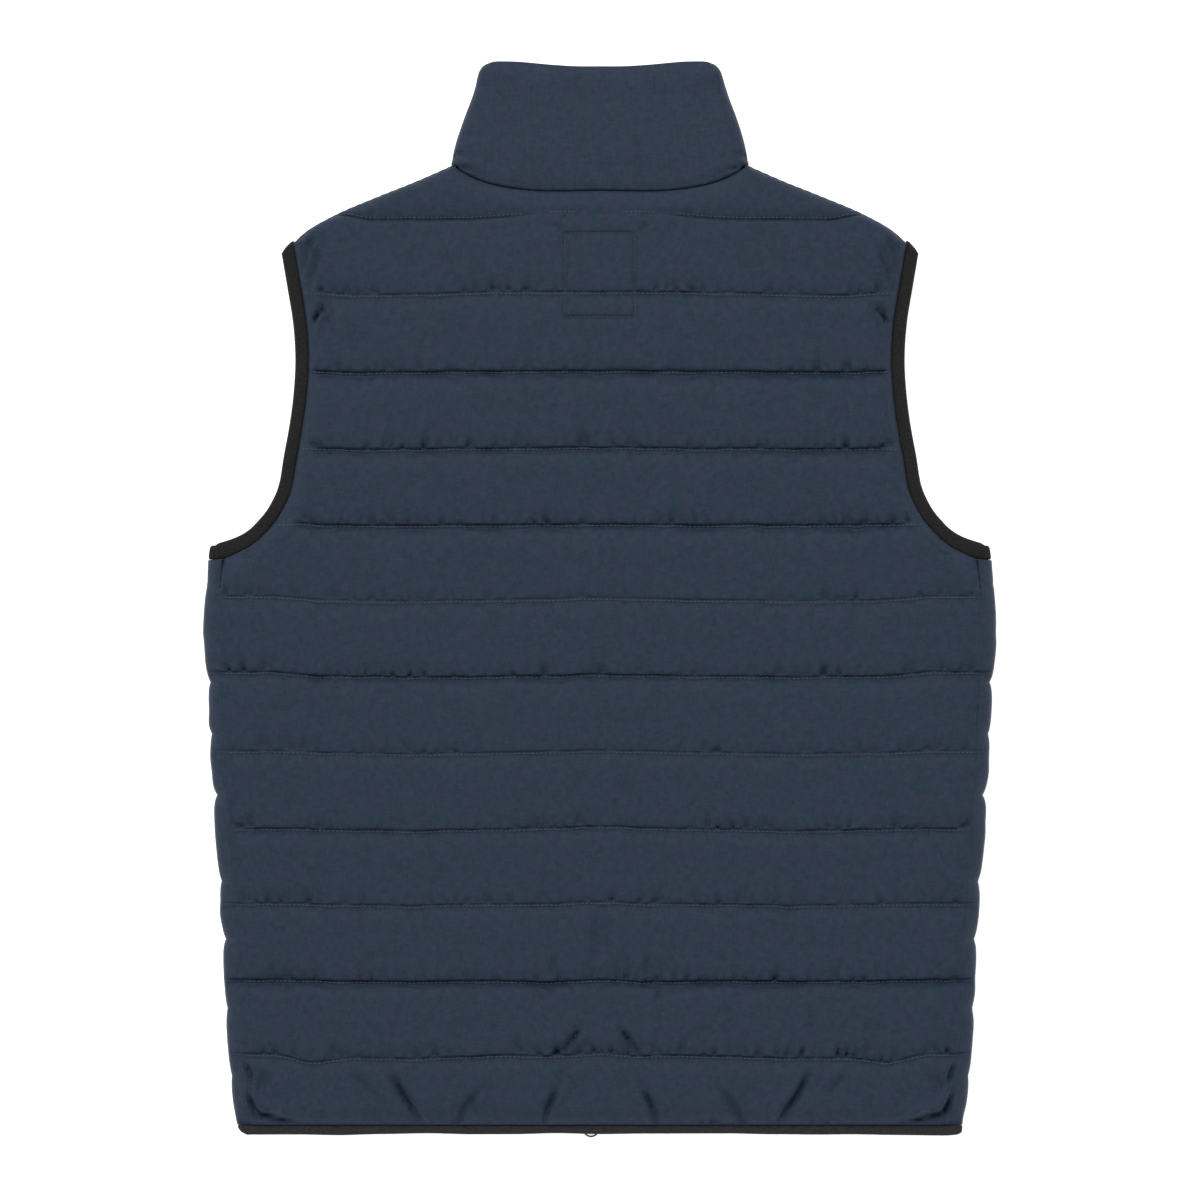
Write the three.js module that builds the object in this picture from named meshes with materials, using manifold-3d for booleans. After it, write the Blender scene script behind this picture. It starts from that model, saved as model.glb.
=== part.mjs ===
// A quilted, padded vest with a stand collar, zipped up and laid flat on its front.
// Millimetres. X runs across the vest, Y from the hem up to the collar, Z up from the floor.
// The origin is on the floor, under the middle of the vest.
import * as THREE from "three";
import Module from "manifold-3d";
import { mergeVertices } from "three/addons/utils/BufferGeometryUtils.js";

const { clamp, degToRad, lerp, smoothstep } = THREE.MathUtils;

// Heights and walls. The fronts lie on the floor and the back lies on the fronts.
const MID_Z = 12.7; // the plane where fronts and back meet
const LAYER_GAP = 0.3; // from that plane to each panel's plain inside
const SEAM_GAP = 0.3; // between two pieces that are sewn together
const SEAM_WALL = 2.4; // a panel's wall at its sewn edges
const BACK_WALL = 12; // the back's wall at the crown of a channel
const FRONT_WALL = MID_Z - LAYER_GAP; // a front's wall, which reaches the floor
const EDGE_ROUND = 13; // how far in from its edge a panel is puffed up fully

// The back's outline and the quilt lines sewn across it, with the wall left at each line.
const HEM_Y = -367.2;
const UNDERARM_Y = 28;
const SIDE_WRAP = 10.3; // the fronts reach this far round the side, onto the back
const SHOULDER_TIP = { x: 214.4, y: 249.4 };
const NECK_POINT = { x: 103.6, y: 303.6 };
const BACK_LINES = [
  { y: -318.5, wall: 2.7 },
  { y: -266, wall: 2.3 },
  { y: -212.1, wall: 3.2 },
  { y: -159.6, wall: 2.3 },
  { y: -105.7, wall: 3.2 },
  { y: -52.5, wall: 2.4 },
  { y: 0.7, wall: 3.4 },
  { y: 53.2, wall: 2.3 },
  { y: 106.4, wall: 2.4 },
  { y: 160.3, wall: 2.3 },
  { y: 215.6, wall: 3.4 },
  { y: 268.8, wall: 3.6 },
];
const YOKE = BACK_LINES.at(-1); // the highest line runs into the shoulders
const SIDE = [
  { y: -374, x: 252.6 },
  { y: -345, x: 257.8 },
  { y: -308, x: 261 },
  { y: -258, x: 263.6 },
  { y: -207, x: 266.6 },
  { y: -160, x: 270 },
  { y: -106, x: 273.2 },
  { y: -60, x: 275.5 },
  { y: -20, x: 277.9 },
  { y: 28, x: 274.6 },
];
const ARMHOLE = [
  { y: 28, x: 264.3 },
  { y: 35, x: 249.2 },
  { y: 51.8, x: 229.6 },
  { y: 68.6, x: 219.1 },
  { y: 102, x: 211.4 },
  { y: 136, x: 205.8 },
  { y: 170, x: 203.7 },
  { y: 194, x: 205.2 },
  { y: 219.8, x: 209.3 },
  { y: 249.4, x: 214.4 },
];
const SHOULDER = [
  { x: 103.6, y: 303.6 },
  { x: 128.8, y: 292.6 },
  { x: 156.8, y: 281.4 },
  { x: 186, y: 268.8 }, // the end of the yoke's quilt line
  { x: 203, y: 259.3 },
  { x: 214.4, y: 249.4 },
];
const BACK_NECK = [
  { x: 0, y: 286.6 },
  { x: 37.8, y: 286.6 },
  { x: 63, y: 289.1 },
  { x: 79.1, y: 292.3 },
  { x: 91, y: 296.1 },
  { x: 103.6, y: 303.6 },
];

// The fronts: a lower neck, a deeper armhole, and quilt lines of their own.
const FRONT_LINE = { first: -333.2, pitch: 49.2, count: 13 };
const FRONT_NECK_DROP = 76.6; // from the neck point down to the zip
const FRONT_ARMHOLE = [
  { y: 28, x: 264.3 },
  { y: 33, x: 248 },
  { y: 48, x: 225 },
  { y: 66, x: 212.5 },
  { y: 100, x: 202 },
  { y: 136, x: 196.5 },
  { y: 170, x: 194.5 },
  { y: 200, x: 197 },
  { y: 225, x: 204 },
  { y: 249.4, x: 214.4 },
];
const SIDE_FOLD = { in: 15, pinch: 3.5, crownZ: 11.5, roundX: 6, roundZ: 6.3 };
const WRAP_SHORT = 0.5; // the rolled side ends this far below the armhole

// The collar lies flat on itself: its middle plane comes down to the floor past the neck.
const COLLAR_DROP = 4.9;
const COLLAR_BEND = { from: 305, to: 365 };
const COLLAR_SIDE = [
  { y: 303.9, x: 104.2 },
  { y: 315, x: 102.2 },
  { y: 337, x: 95.6 },
  { y: 359.8, x: 87.5 },
  { y: 369, x: 84.6 },
  { y: 377.2, x: 77 },
];
const COLLAR_TOP = [
  { x: 0, y: 373.8 },
  { x: 17.5, y: 373.9 },
  { x: 35, y: 375 },
  { x: 59.5, y: 377.1 },
  { x: 77, y: 377.3 },
];
const COLLAR_FRONT_DROP = 56; // the front's top edge is this much lower at the zip
const COLLAR_OVERLAP = 2; // how far inside the neckline the collar's front seam runs
const COLLAR_THINNING = 90; // how slowly the front half thins towards the zip
const COLLAR_ZIP_FILL = SEAM_WALL / 7; // the share of its thickness left at the zip
const COLLAR_SECTION = {
  outer: [
    { across: 0, out: 2.7 },
    { across: 0.06, out: 5.6 },
    { across: 0.2, out: 7.2 },
    { across: 0.45, out: 7.8 },
    { across: 0.72, out: 7.8 },
    { across: 0.92, out: 6.6 },
    { across: 1, out: 3.6 },
  ],
  inner: [
    { across: 0, out: 0.3 },
    { across: 0.2, out: 0.9 },
    { across: 0.4, out: 0.9 },
    { across: 0.6, out: 0.9 },
    { across: 0.8, out: 0.9 },
    { across: 1, out: 0.9 },
  ],
};

// Bindings: flat knitted tape folded over the cut edges. A fold runs from the cloth out to the free edge.
const BAND_GAP = 0.6;
const ARMHOLE_BAND = 9.4;
const HEM_BAND = 6;
const BAND_OUT = 3.5;
const SHOULDER_FOLD = { from: { x: 215, y: 245.6 }, to: { x: 220.9, y: 239.2 }, way: { x: 0.64, y: 0.77 } };
const UNDERARM_FOLD = { from: { x: 271.4, y: 28.6 }, to: { x: 270, y: 38 }, way: { x: 1, y: 0 } };
const FOLD_CLEAR = { underarm: 2, shoulder: 5 }; // from each end of the armhole to the first straight station
const BAND_SECTION = {
  outer: [
    { across: 0, out: 2.9 },
    { across: 0.14, out: 3.5 },
    { across: 0.86, out: 3.5 },
    { across: 1, out: 2.4 },
  ],
  inner: [
    { across: 0, out: 0.3 },
    { across: 1, out: 0.3 },
  ],
};

// The zip at the centre front opens from both ends.
const ZIP_X = -6.3;
const ZIP_EDGE = 5.5; // from the zip's middle to the cloth on each side
const ZIP_BOTTOM = -372.5;
const ZIP_TOP = 315;
const TAPE = { in: 0.4, out: 5.2, low: 10.6, high: 11.8 };
const CHAIN = { half: 2.9, low: 7.6, high: 10.3, chamfer: 0.8 };
const SLIDER = { long: 9, wide: 8.6, low: 5.7, high: 10.3, clear: 0.3, nose: 2, heel: 1, taper: 2.5 };
const BAIL = { eyeZ: 3.9, eye: 1.4, wall: 1.5, wide: 1.6, root: 0.4 }; // its root ends inside the slider
const PULL = { wire: 0.6, round: 5.15, long: 15.6, neck: 2.2, tilt: 12.2 };
const PULL_TIP_Y = -377.3;

// Curves of the outline.
function follow(table, along, value) {
  const rows = [...table].sort((a, b) => a[along] - b[along]);
  const at = rows.map((row) => row[along]);
  const values = rows.map((row) => row[value]);
  const curve = new THREE.CubicInterpolant(at, values, 1);
  return (place) => curve.evaluate(clamp(place, at[0], at.at(-1)))[0];
}

const sideX = follow(SIDE, "y", "x");
const armholeX = follow(ARMHOLE, "y", "x");
const shoulderX = follow(SHOULDER, "y", "x");
const shoulderY = follow(SHOULDER, "x", "y");
const backNeckY = follow(BACK_NECK, "x", "y");
const frontArmholeX = follow(FRONT_ARMHOLE, "y", "x");
const collarSideX = follow(COLLAR_SIDE, "y", "x");
const collarTopY = follow(COLLAR_TOP, "x", "y");
const seamX = (y) => sideX(y) - SIDE_WRAP;

function backEdgeX(y) {
  if (y <= UNDERARM_Y) return seamX(y);
  return y <= SHOULDER_TIP.y ? armholeX(y) : shoulderX(y);
}

function backTopY(x) {
  return Math.abs(x) < NECK_POINT.x ? backNeckY(Math.abs(x)) : shoulderY(Math.abs(x));
}

// The front neckline is a quarter of an ellipse from the neck point down to the zip.
function frontNeckX(y) {
  const down = clamp((NECK_POINT.y - y) / FRONT_NECK_DROP, 0, 1);
  return NECK_POINT.x * Math.sqrt(1 - down * down);
}

function midAt(y) {
  return MID_Z - COLLAR_DROP * smoothstep(y, COLLAR_BEND.from, COLLAR_BEND.to);
}

// How much a wall is puffed up, from 0 at a sewn edge to 1 at EDGE_ROUND from it.
function puff(distance) {
  const left = 1 - clamp(distance / EDGE_ROUND, 0, 1);
  return Math.sqrt(1 - left * left);
}

function distanceTo(outline, x, y) {
  const here = new THREE.Vector3(x, y, 0);
  const nearest = new THREE.Vector3();
  return Math.min(...outline.map((line) => line.closestPointToPoint(here, true, nearest).distanceTo(here)));
}

function outlineOf(places) {
  const points = places.map(([x, y]) => new THREE.Vector3(x, y, 0));
  return points.slice(1).map((point, i) => new THREE.Line3(points[i], point));
}

function steps(from, to, count) {
  return Array.from({ length: count + 1 }, (_, i) => lerp(from, to, i / count));
}

// Triangles between two rows of points that run side by side, whatever their counts.
function ribbon(a, b) {
  const corners = [];
  const half = (row, i) => (i + 0.5) / (row.length - 1);
  let i = 0;
  let j = 0;
  while (i < a.length - 1 || j < b.length - 1) {
    const alongA = j === b.length - 1 || (i < a.length - 1 && half(a, i) <= half(b, j));
    if (alongA) {
      corners.push(a[i], a[i + 1], b[j]);
      i += 1;
    } else {
      corners.push(a[i], b[j + 1], b[j]);
      j += 1;
    }
  }
  return corners;
}

const ribbons = (rows) => rows.slice(1).flatMap((row, i) => ribbon(rows[i], row));

// A closed solid from triangle corners, with its faces turned out.
function solid(corners) {
  const raw = new THREE.BufferGeometry().setFromPoints(corners);
  const geometry = mergeVertices(raw, 1e-3);
  const place = geometry.getAttribute("position");
  const corner = (i) => new THREE.Vector3().fromBufferAttribute(place, i);
  const faces = [];
  let volume = 0;
  for (let i = 0; i < geometry.index.count; i += 3) {
    const [a, b, c] = [0, 1, 2].map((k) => geometry.index.getX(i + k));
    if (a === b || b === c || c === a) continue;
    faces.push([a, b, c]);
    volume += corner(a).dot(corner(b).cross(corner(c)));
  }
  geometry.setIndex(faces.flatMap(([a, b, c]) => (volume < 0 ? [a, c, b] : [a, b, c])));
  geometry.computeVertexNormals();
  return geometry;
}

// A panel: rows of outer points over a plain inside, closed along its four edges.
function panel(outer, inner) {
  const apart = (point, i, all) => i === 0 || point.distanceTo(all[i - 1]) > 1e-3;
  const first = (rows) => rows.map((row) => row[0]).filter(apart);
  const last = (rows) => rows.map((row) => row.at(-1)).filter(apart);
  return solid([
    ...ribbons(outer),
    ...ribbons([...inner].reverse()),
    ...ribbon(inner[0], outer[0]),
    ...ribbon(outer.at(-1), inner.at(-1)),
    ...ribbon(first(outer), first(inner)),
    ...ribbon(last(inner), last(outer)),
  ]);
}

// A strip that runs through stations and folds round the vest's edge where they turn.
// A station has at(across), its turn (90 degrees on top, -90 below), and the way out at the fold.
function strip(stations, section, closed) {
  const ends = stations.map(({ at, turn, way = { x: 0, y: 0 }, fill = 1 }) => {
    const place = ({ across, out }) => {
      const reach = out * lerp(1, fill, out > 1 ? 1 : 0);
      const flat = at(across);
      const aside = reach * Math.cos(degToRad(turn));
      const z = midAt(flat.y) + reach * Math.sin(degToRad(turn));
      return new THREE.Vector3(flat.x + aside * way.x, flat.y + aside * way.y, z);
    };
    return { outer: section.outer.map(place), inner: section.inner.map(place) };
  });
  const rings = ends.map(({ outer, inner }) => [...outer, ...[...inner].reverse(), outer[0]]);
  if (closed) return solid(ribbons([...rings, rings[0]]));
  const start = ends[0];
  const end = ends.at(-1);
  return solid([...ribbons(rings), ...ribbon(start.inner, start.outer), ...ribbon(end.outer, end.inner)]);
}

// The heights of the rows that a panel is made of: regular ones, but for those that crowd a fixed one.
const ROW_CROWDED = 2.4;
const BACK_ROW_SHARES = [0, 0.07, 0.22, 0.5, 0.78, 0.93];
const FRONT_ROW_SHARES = [0, 0.1, 0.5, 0.9];
const YOKE_ROW_SHARES = [0.12, 0.35, 0.65, 0.88, 1];

function levelsOf(regular, fixed) {
  const spaced = regular.filter((y) => fixed.every((place) => Math.abs(y - place) > ROW_CROWDED));
  return [...spaced, ...fixed].sort((a, b) => a - b);
}

const channelEnds = [HEM_Y, ...BACK_LINES.map((line) => line.y)];
const backLevels = levelsOf(
  channelEnds.slice(1).flatMap((to, i) => {
    return BACK_ROW_SHARES.map((t) => lerp(channelEnds[i], to, t));
  }),
  [UNDERARM_Y, 31.5, 36, 72, SHOULDER_TIP.y, YOKE.y],
);

const frontLines = Array.from(
  { length: FRONT_LINE.count },
  (_, i) => FRONT_LINE.first + i * FRONT_LINE.pitch,
);
const wrapEnd = UNDERARM_Y - WRAP_SHORT;
const frontNeckY = NECK_POINT.y - FRONT_NECK_DROP;
const frontTop = [266, 278, 290, 298, 302];
const frontLevels = levelsOf(
  frontLines
    .flatMap((line) => FRONT_ROW_SHARES.map((t) => line + t * FRONT_LINE.pitch))
    .filter((y) => y < frontTop[0] - 4),
  [
    ...[HEM_Y, HEM_Y + 4, HEM_Y + EDGE_ROUND, FRONT_LINE.first - 0.1 * FRONT_LINE.pitch],
    ...[wrapEnd - 4, wrapEnd, UNDERARM_Y, 31, 41, 47],
    ...[frontNeckY - 1, frontNeckY + 3, frontNeckY + 9, SHOULDER_TIP.y, ...frontTop],
  ],
);

// Back panel: rows across the body, and above the highest line rows that rise to neck and shoulders.
function backPanel() {
  const columns = steps(-1, 1, 26).map((s) => Math.sin((s * Math.PI) / 2));
  const edge = backLevels.map((y) => [backEdgeX(y), y]);
  const top = steps(shoulderX(YOKE.y), 0, 16).map((x) => [x, backTopY(x)]);
  const right = [[0, HEM_Y], ...edge, ...top];
  const outline = outlineOf([...right, ...right.map(([x, y]) => [-x, y]).reverse()]);

  const wallAt = (x, y, low, high, t) => {
    const sewn = lerp(low, high, t);
    const pillow = Math.sin(Math.PI * t) ** 0.55;
    const edgePuff = puff(distanceTo(outline, x, y));
    return lerp(SEAM_WALL, lerp(sewn, BACK_WALL, pillow), edgePuff);
  };
  const walls = [SEAM_WALL, ...BACK_LINES.map((line) => line.wall)];
  const point = (x, y, wall) => new THREE.Vector3(x, y, MID_Z + LAYER_GAP + wall);
  const channelRow = (y) => {
    const i = Math.min(channelEnds.filter((end) => end <= y).length, channelEnds.length - 1);
    const t = (y - channelEnds[i - 1]) / (channelEnds[i] - channelEnds[i - 1]);
    return columns.map((u) => {
      const x = u * backEdgeX(y);
      return point(x, y, wallAt(x, y, walls[i - 1], walls[i], t));
    });
  };
  const yokeRow = (t) =>
    columns.map((u) => {
      const x = u * shoulderX(YOKE.y);
      const y = lerp(YOKE.y, backTopY(x), t);
      return point(x, y, wallAt(x, y, YOKE.wall, SEAM_WALL, t));
    });
  const body = backLevels.map(channelRow);
  const yoke = YOKE_ROW_SHARES.map(yokeRow);
  const plain = (row) => row.map(({ x, y }) => new THREE.Vector3(x, y, MID_Z + LAYER_GAP));
  const inside = body.slice(0, -1).map((row) => plain([row[0], row.at(-1)]));
  return panel([...body, ...yoke], [...inside, plain(body.at(-1)), plain(yoke.at(-1))]);
}

// Front panel of one side (1 is the right, -1 the left): flat below, rolled round the side to the back.
function frontPanel(side) {
  const flatColumns = steps(0, 1, 10).map((s) => (1 - Math.cos(s * Math.PI)) / 2);
  const foldTurns = [-60, -30, 0, 30, 60, 90];
  const zipX = side * ZIP_X + ZIP_EDGE;
  const edgeX = (y) => (y <= SHOULDER_TIP.y ? frontArmholeX(y) : shoulderX(y));
  const startX = (y) => (y <= frontNeckY ? zipX : Math.max(zipX, frontNeckX(y)));
  const above = frontLevels.filter((y) => y >= UNDERARM_Y);
  const outline = outlineOf([
    ...above.map((y) => [edgeX(y), y]),
    ...[...frontLevels].reverse().map((y) => [startX(y), y]),
    [seamX(HEM_Y), HEM_Y],
  ]);

  const isLine = (y) => frontLines.some((line) => Math.abs(line - y) < 1e-6);
  const place = (x, y, z) => new THREE.Vector3(side * x, y, z);
  const underside = (x, y) => {
    const crown = isLine(y) ? 0 : puff(distanceTo(outline, x, y));
    return place(x, y, FRONT_WALL - lerp(SEAM_WALL, FRONT_WALL, crown));
  };
  const row = (y) => {
    const from = startX(y);
    if (y > wrapEnd) {
      const flat = flatColumns.map((u) => underside(lerp(from, edgeX(y), u), y));
      return [...flat, ...foldTurns.map(() => flat.at(-1)), flat.at(-1)];
    }
    const out = sideX(y);
    const crown = isLine(y) ? 0 : Math.min(puff(wrapEnd - y), puff(y - HEM_Y));
    const tip = out - lerp(SIDE_FOLD.pinch, 0, crown);
    const tipZ = lerp(MID_Z, SIDE_FOLD.crownZ, crown);
    const flat = flatColumns.map((u) => underside(lerp(from, out - SIDE_FOLD.in, u), y));
    const below = tipZ - flat.at(-1).z;
    const fold = foldTurns.map((turn) => {
      const [across, up] = [Math.cos(degToRad(turn)), Math.sin(degToRad(turn))];
      if (turn < 0) {
        return place(lerp(out - SIDE_FOLD.in, tip, across), y, tipZ + below * up);
      }
      const roundX = lerp(SIDE_FOLD.roundX / 2, SIDE_FOLD.roundX, crown);
      const roundZ = lerp(LAYER_GAP + SEAM_WALL, SIDE_FOLD.roundZ, crown);
      return place(tip - roundX + roundX * across, y, tipZ + roundZ * up);
    });
    return [...flat, ...fold, place(seamX(y) + SEAM_GAP, y, MID_Z + LAYER_GAP + SEAM_WALL)];
  };
  const outer = frontLevels.map(row);
  const inner = outer.map((points) => {
    return [points[0], points.at(-1)].map(({ x, y }) => new THREE.Vector3(x, y, FRONT_WALL));
  });
  return panel(outer, inner);
}

// Collar: from one zip edge under the neck, round the fold, over the back and down to the other edge.
function collar() {
  const sideOut = follow(COLLAR_SECTION.outer, "across", "out");
  const foldAt = (across) => {
    const y = lerp(COLLAR_SIDE[0].y, COLLAR_SIDE.at(-1).y, across);
    return { x: collarSideX(y) - sideOut(across), y };
  };
  const backStation = (along) => ({
    turn: 90,
    at: (across) => {
      const x = along * foldAt(across).x;
      const seamY = backNeckY(Math.abs(along) * NECK_POINT.x) + SEAM_GAP;
      return { x, y: lerp(seamY, collarTopY(Math.abs(x)), across) };
    },
  });
  const foldStation = (side) => (turn) => ({
    turn,
    way: { x: side, y: 0 },
    at: (across) => ({ x: side * foldAt(across).x, y: foldAt(across).y }),
  });
  const frontStation = (side) => (along) => ({
    turn: -90,
    fill: lerp(COLLAR_ZIP_FILL, 1, puff((1 - along) * COLLAR_THINNING)),
    at: (across) => {
      const zipEdge = side * ZIP_X + ZIP_EDGE;
      const angle = lerp(Math.PI / 2, Math.asin(zipEdge / NECK_POINT.x), along);
      const seam = {
        x: (NECK_POINT.x - COLLAR_OVERLAP) * Math.sin(angle),
        y: NECK_POINT.y + SEAM_GAP - (FRONT_NECK_DROP - SEAM_GAP) * Math.cos(angle),
      };
      const topFold = foldAt(1);
      const top = {
        x: lerp(topFold.x, zipEdge, along),
        y: topFold.y - COLLAR_FRONT_DROP * (1 - (1 - along) ** 2),
      };
      const startX = along === 1 ? zipEdge : seam.x;
      const bulge = foldAt(across).x - lerp(foldAt(0).x, topFold.x, across);
      return {
        x: side * (lerp(startX, top.x, across) + bulge * (1 - along) ** 3),
        y: lerp(seam.y, top.y, across),
      };
    },
  });
  const turns = [60, 30, 0, -30, -60];
  const frontSteps = [0, 0.15, 0.35, 0.55, 0.75, 0.9, 0.96, 1];
  const right = [...turns.map(foldStation(1)), ...frontSteps.map(frontStation(1))];
  const left = [...turns.map(foldStation(-1)), ...frontSteps.map(frontStation(-1))].reverse();
  const back = steps(-1, 1, 16).map(backStation);
  return strip([...left, ...back, ...right], COLLAR_SECTION, false);
}

// Armhole binding of one side: up the back's armhole, round the shoulder and down the front's.
function armholeBinding(side) {
  const lowest = UNDERARM_Y + FOLD_CLEAR.underarm;
  const highest = SHOULDER_TIP.y - FOLD_CLEAR.shoulder;
  const beside = (levels) => levels.filter((y) => y > lowest && y < highest);
  const station = (edge, turn) => (y) => {
    const slope = edge(y + 0.5) - edge(y - 0.5);
    const way = new THREE.Vector2(1, -slope).normalize();
    const cloth = new THREE.Vector2(edge(y), y).addScaledVector(way, BAND_GAP);
    return {
      turn,
      at: (across) => {
        const place = cloth.clone().addScaledVector(way, across * ARMHOLE_BAND);
        return { x: side * place.x, y: place.y };
      },
    };
  };
  const fold = ({ from, to, way }) => (turn) => ({
    turn,
    way: { x: side * way.x, y: way.y },
    at: (across) => ({ x: side * lerp(from.x, to.x, across), y: lerp(from.y, to.y, across) }),
  });
  const shoulder = fold(SHOULDER_FOLD);
  const underarm = fold(UNDERARM_FOLD);
  const turns = [90, 60, 30, 0, -30, -60, -90];
  return strip(
    [
      ...beside(backLevels).map(station(armholeX, 90)),
      ...turns.map(shoulder),
      ...beside(frontLevels).reverse().map(station(frontArmholeX, -90)),
      ...[...turns].reverse().map(underarm),
    ],
    BAND_SECTION,
    true,
  );
}

// Hem binding: from one zip edge round the hem to the other.
function hemBinding() {
  const clothY = HEM_Y - SEAM_GAP;
  const flat = (turn) => (x) => ({ turn, at: (across) => ({ x, y: clothY - across * HEM_BAND }) });
  const fold = (side) => (turn) => ({
    turn,
    way: { x: side, y: 0 },
    at: (across) => {
      const y = clothY - across * HEM_BAND;
      return { x: side * (sideX(y) - BAND_OUT), y };
    },
  });
  const turns = [90, 60, 30, 0, -30, -60, -90];
  const reach = sideX(HEM_Y) - 3 * BAND_OUT;
  return strip(
    [
      ...steps(ZIP_X - ZIP_EDGE, -reach, 3).map(flat(-90)),
      ...[...turns].reverse().map(fold(-1)),
      ...steps(-reach, reach, 8).map(flat(90)),
      ...turns.map(fold(1)),
      ...steps(reach, ZIP_X + ZIP_EDGE, 3).map(flat(-90)),
    ],
    BAND_SECTION,
    false,
  );
}

// Zip: two tapes, the closed chain below them, and a slider at each end.
function bar(points, from, to) {
  const shape = new THREE.Shape(points.map(([x, z]) => new THREE.Vector2(x, z)));
  const geometry = new THREE.ExtrudeGeometry(shape, { depth: to - from, bevelEnabled: false });
  return geometry.rotateX(Math.PI / 2).translate(0, to, 0);
}

function zipTape(side) {
  const [near, far] = [side * TAPE.in, side * TAPE.out].sort((a, b) => a - b);
  const section = [[near, TAPE.low], [far, TAPE.low], [far, TAPE.high], [near, TAPE.high]];
  return bar(section, ZIP_BOTTOM, ZIP_TOP);
}

function zipChain() {
  const { half, low, high, chamfer } = CHAIN;
  const section = [
    [-half, low + chamfer],
    [-half + chamfer, low],
    [half - chamfer, low],
    [half, low + chamfer],
    [half, high],
    [-half, high],
  ];
  return bar(section, ZIP_BOTTOM + 2, ZIP_TOP - 2);
}

const wasm = await Module();
wasm.setup();

function toManifold(geometry) {
  const bare = geometry.clone();
  bare.deleteAttribute("normal");
  bare.deleteAttribute("uv");
  const merged = mergeVertices(bare, 1e-4);
  return new wasm.Manifold(
    new wasm.Mesh({
      numProp: 3,
      vertProperties: new Float32Array(merged.getAttribute("position").array),
      triVerts: new Uint32Array(merged.index.array),
    }),
  );
}

function fromManifold(made) {
  const mesh = made.getMesh();
  const geometry = new THREE.BufferGeometry();
  geometry.setAttribute("position", new THREE.BufferAttribute(mesh.vertProperties, 3));
  geometry.setIndex(new THREE.BufferAttribute(mesh.triVerts, 1));
  geometry.computeVertexNormals();
  return geometry;
}

// Slider about its bail's eye: a body that grips the chain, and a bail below it for the pull.
function slider() {
  const { nose, heel, taper } = SLIDER;
  const halfWide = SLIDER.wide / 2;
  const halfLong = SLIDER.long / 2;
  const plan = new THREE.Shape();
  plan.moveTo(-halfWide, halfLong - nose);
  plan.lineTo(-halfWide + heel, -halfLong + heel);
  plan.lineTo(-halfWide + taper, -halfLong);
  plan.lineTo(halfWide - taper, -halfLong);
  plan.lineTo(halfWide - heel, -halfLong + heel);
  plan.lineTo(halfWide, halfLong - nose);
  plan.lineTo(halfWide - nose, halfLong);
  plan.lineTo(-halfWide + nose, halfLong);
  const body = new THREE.ExtrudeGeometry(plan, {
    depth: SLIDER.high - SLIDER.low,
    bevelEnabled: false,
  });
  body.translate(0, 0, SLIDER.low);
  const slotHalf = CHAIN.half + SLIDER.clear;
  const slotLow = CHAIN.low - SLIDER.clear;
  const slot = new THREE.BoxGeometry(2 * slotHalf, 2 * SLIDER.long, SLIDER.high);
  slot.translate(0, 0, slotLow + SLIDER.high / 2);
  const outer = BAIL.eye + BAIL.wall;
  const arch = new THREE.Shape();
  const rootZ = SLIDER.low - BAIL.eyeZ + BAIL.root;
  arch.moveTo(-outer, rootZ);
  arch.lineTo(-outer, 0);
  arch.absarc(0, 0, outer, Math.PI, 2 * Math.PI, false);
  arch.lineTo(outer, rootZ);
  const eye = new THREE.Path();
  eye.absarc(0, 0, BAIL.eye, 0, 2 * Math.PI, true);
  arch.holes.push(eye);
  const bail = new THREE.ExtrudeGeometry(arch, {
    depth: BAIL.wide,
    bevelEnabled: false,
    curveSegments: 8,
  });
  bail.translate(0, 0, -BAIL.wide / 2);
  bail.rotateX(Math.PI / 2).rotateZ(Math.PI / 2).translate(0, 0, BAIL.eyeZ);
  return fromManifold(toManifold(body).subtract(toManifold(slot)).add(toManifold(bail)));
}

// Pull: a closed wire loop that passes through the bail's eye and rests its round end on the floor.
function wireLoop() {
  const { neck, long, round, wire } = PULL;
  const middle = long - round;
  const shoulder = { x: lerp(neck, round, 0.7), y: 0.42 * middle };
  const places = [
    [-neck, 0],
    [0, 0],
    [neck, 0],
    [shoulder.x, shoulder.y],
    [round, middle],
    [round * Math.SQRT1_2, middle + round * Math.SQRT1_2],
    [0, long],
    [-round * Math.SQRT1_2, middle + round * Math.SQRT1_2],
    [-round, middle],
    [-shoulder.x, shoulder.y],
  ];
  const path = new THREE.CatmullRomCurve3(
    places.map(([x, y]) => new THREE.Vector3(x, -y, 0)),
    true,
  );
  const around = 32;
  const sides = 8;
  const rings = Array.from({ length: around + 1 }, (_, i) => {
    const share = (i % around) / around;
    const centre = path.getPointAt(share);
    const ahead = path.getTangentAt(share);
    const aside = new THREE.Vector3(ahead.y, -ahead.x, 0);
    return Array.from({ length: sides + 1 }, (_, k) => {
      const turn = (2 * Math.PI * (k % sides)) / sides;
      const point = centre.clone().addScaledVector(aside, wire * Math.cos(turn));
      return point.add(new THREE.Vector3(0, 0, wire * Math.sin(turn)));
    });
  });
  return solid(ribbons(rings)).rotateX(degToRad(PULL.tilt));
}

const lowerPivotY = PULL_TIP_Y + PULL.wire + PULL.long * Math.cos(degToRad(PULL.tilt));
const upperPivotY = ZIP_TOP - SLIDER.long;

// Finishes.
const finish = (color, roughness, metalness = 0) =>
  new THREE.MeshStandardMaterial({ color, roughness, metalness });
const shellCloth = () => finish(0x303b49, 0.62);
const bindingKnit = () => finish(0x2a282a, 0.85);
const zipTapeCloth = () => finish(0x23272e, 0.9);
const zipTeeth = () => finish(0x1b1d20, 0.5);
const darkMetal = () => finish(0x3a3b3e, 0.35, 0.9);

function piece(name, geometry, material, x = 0, y = 0, z = 0) {
  const mesh = new THREE.Mesh(geometry, material);
  mesh.name = name;
  mesh.position.set(x, y, z);
  return mesh;
}

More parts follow.
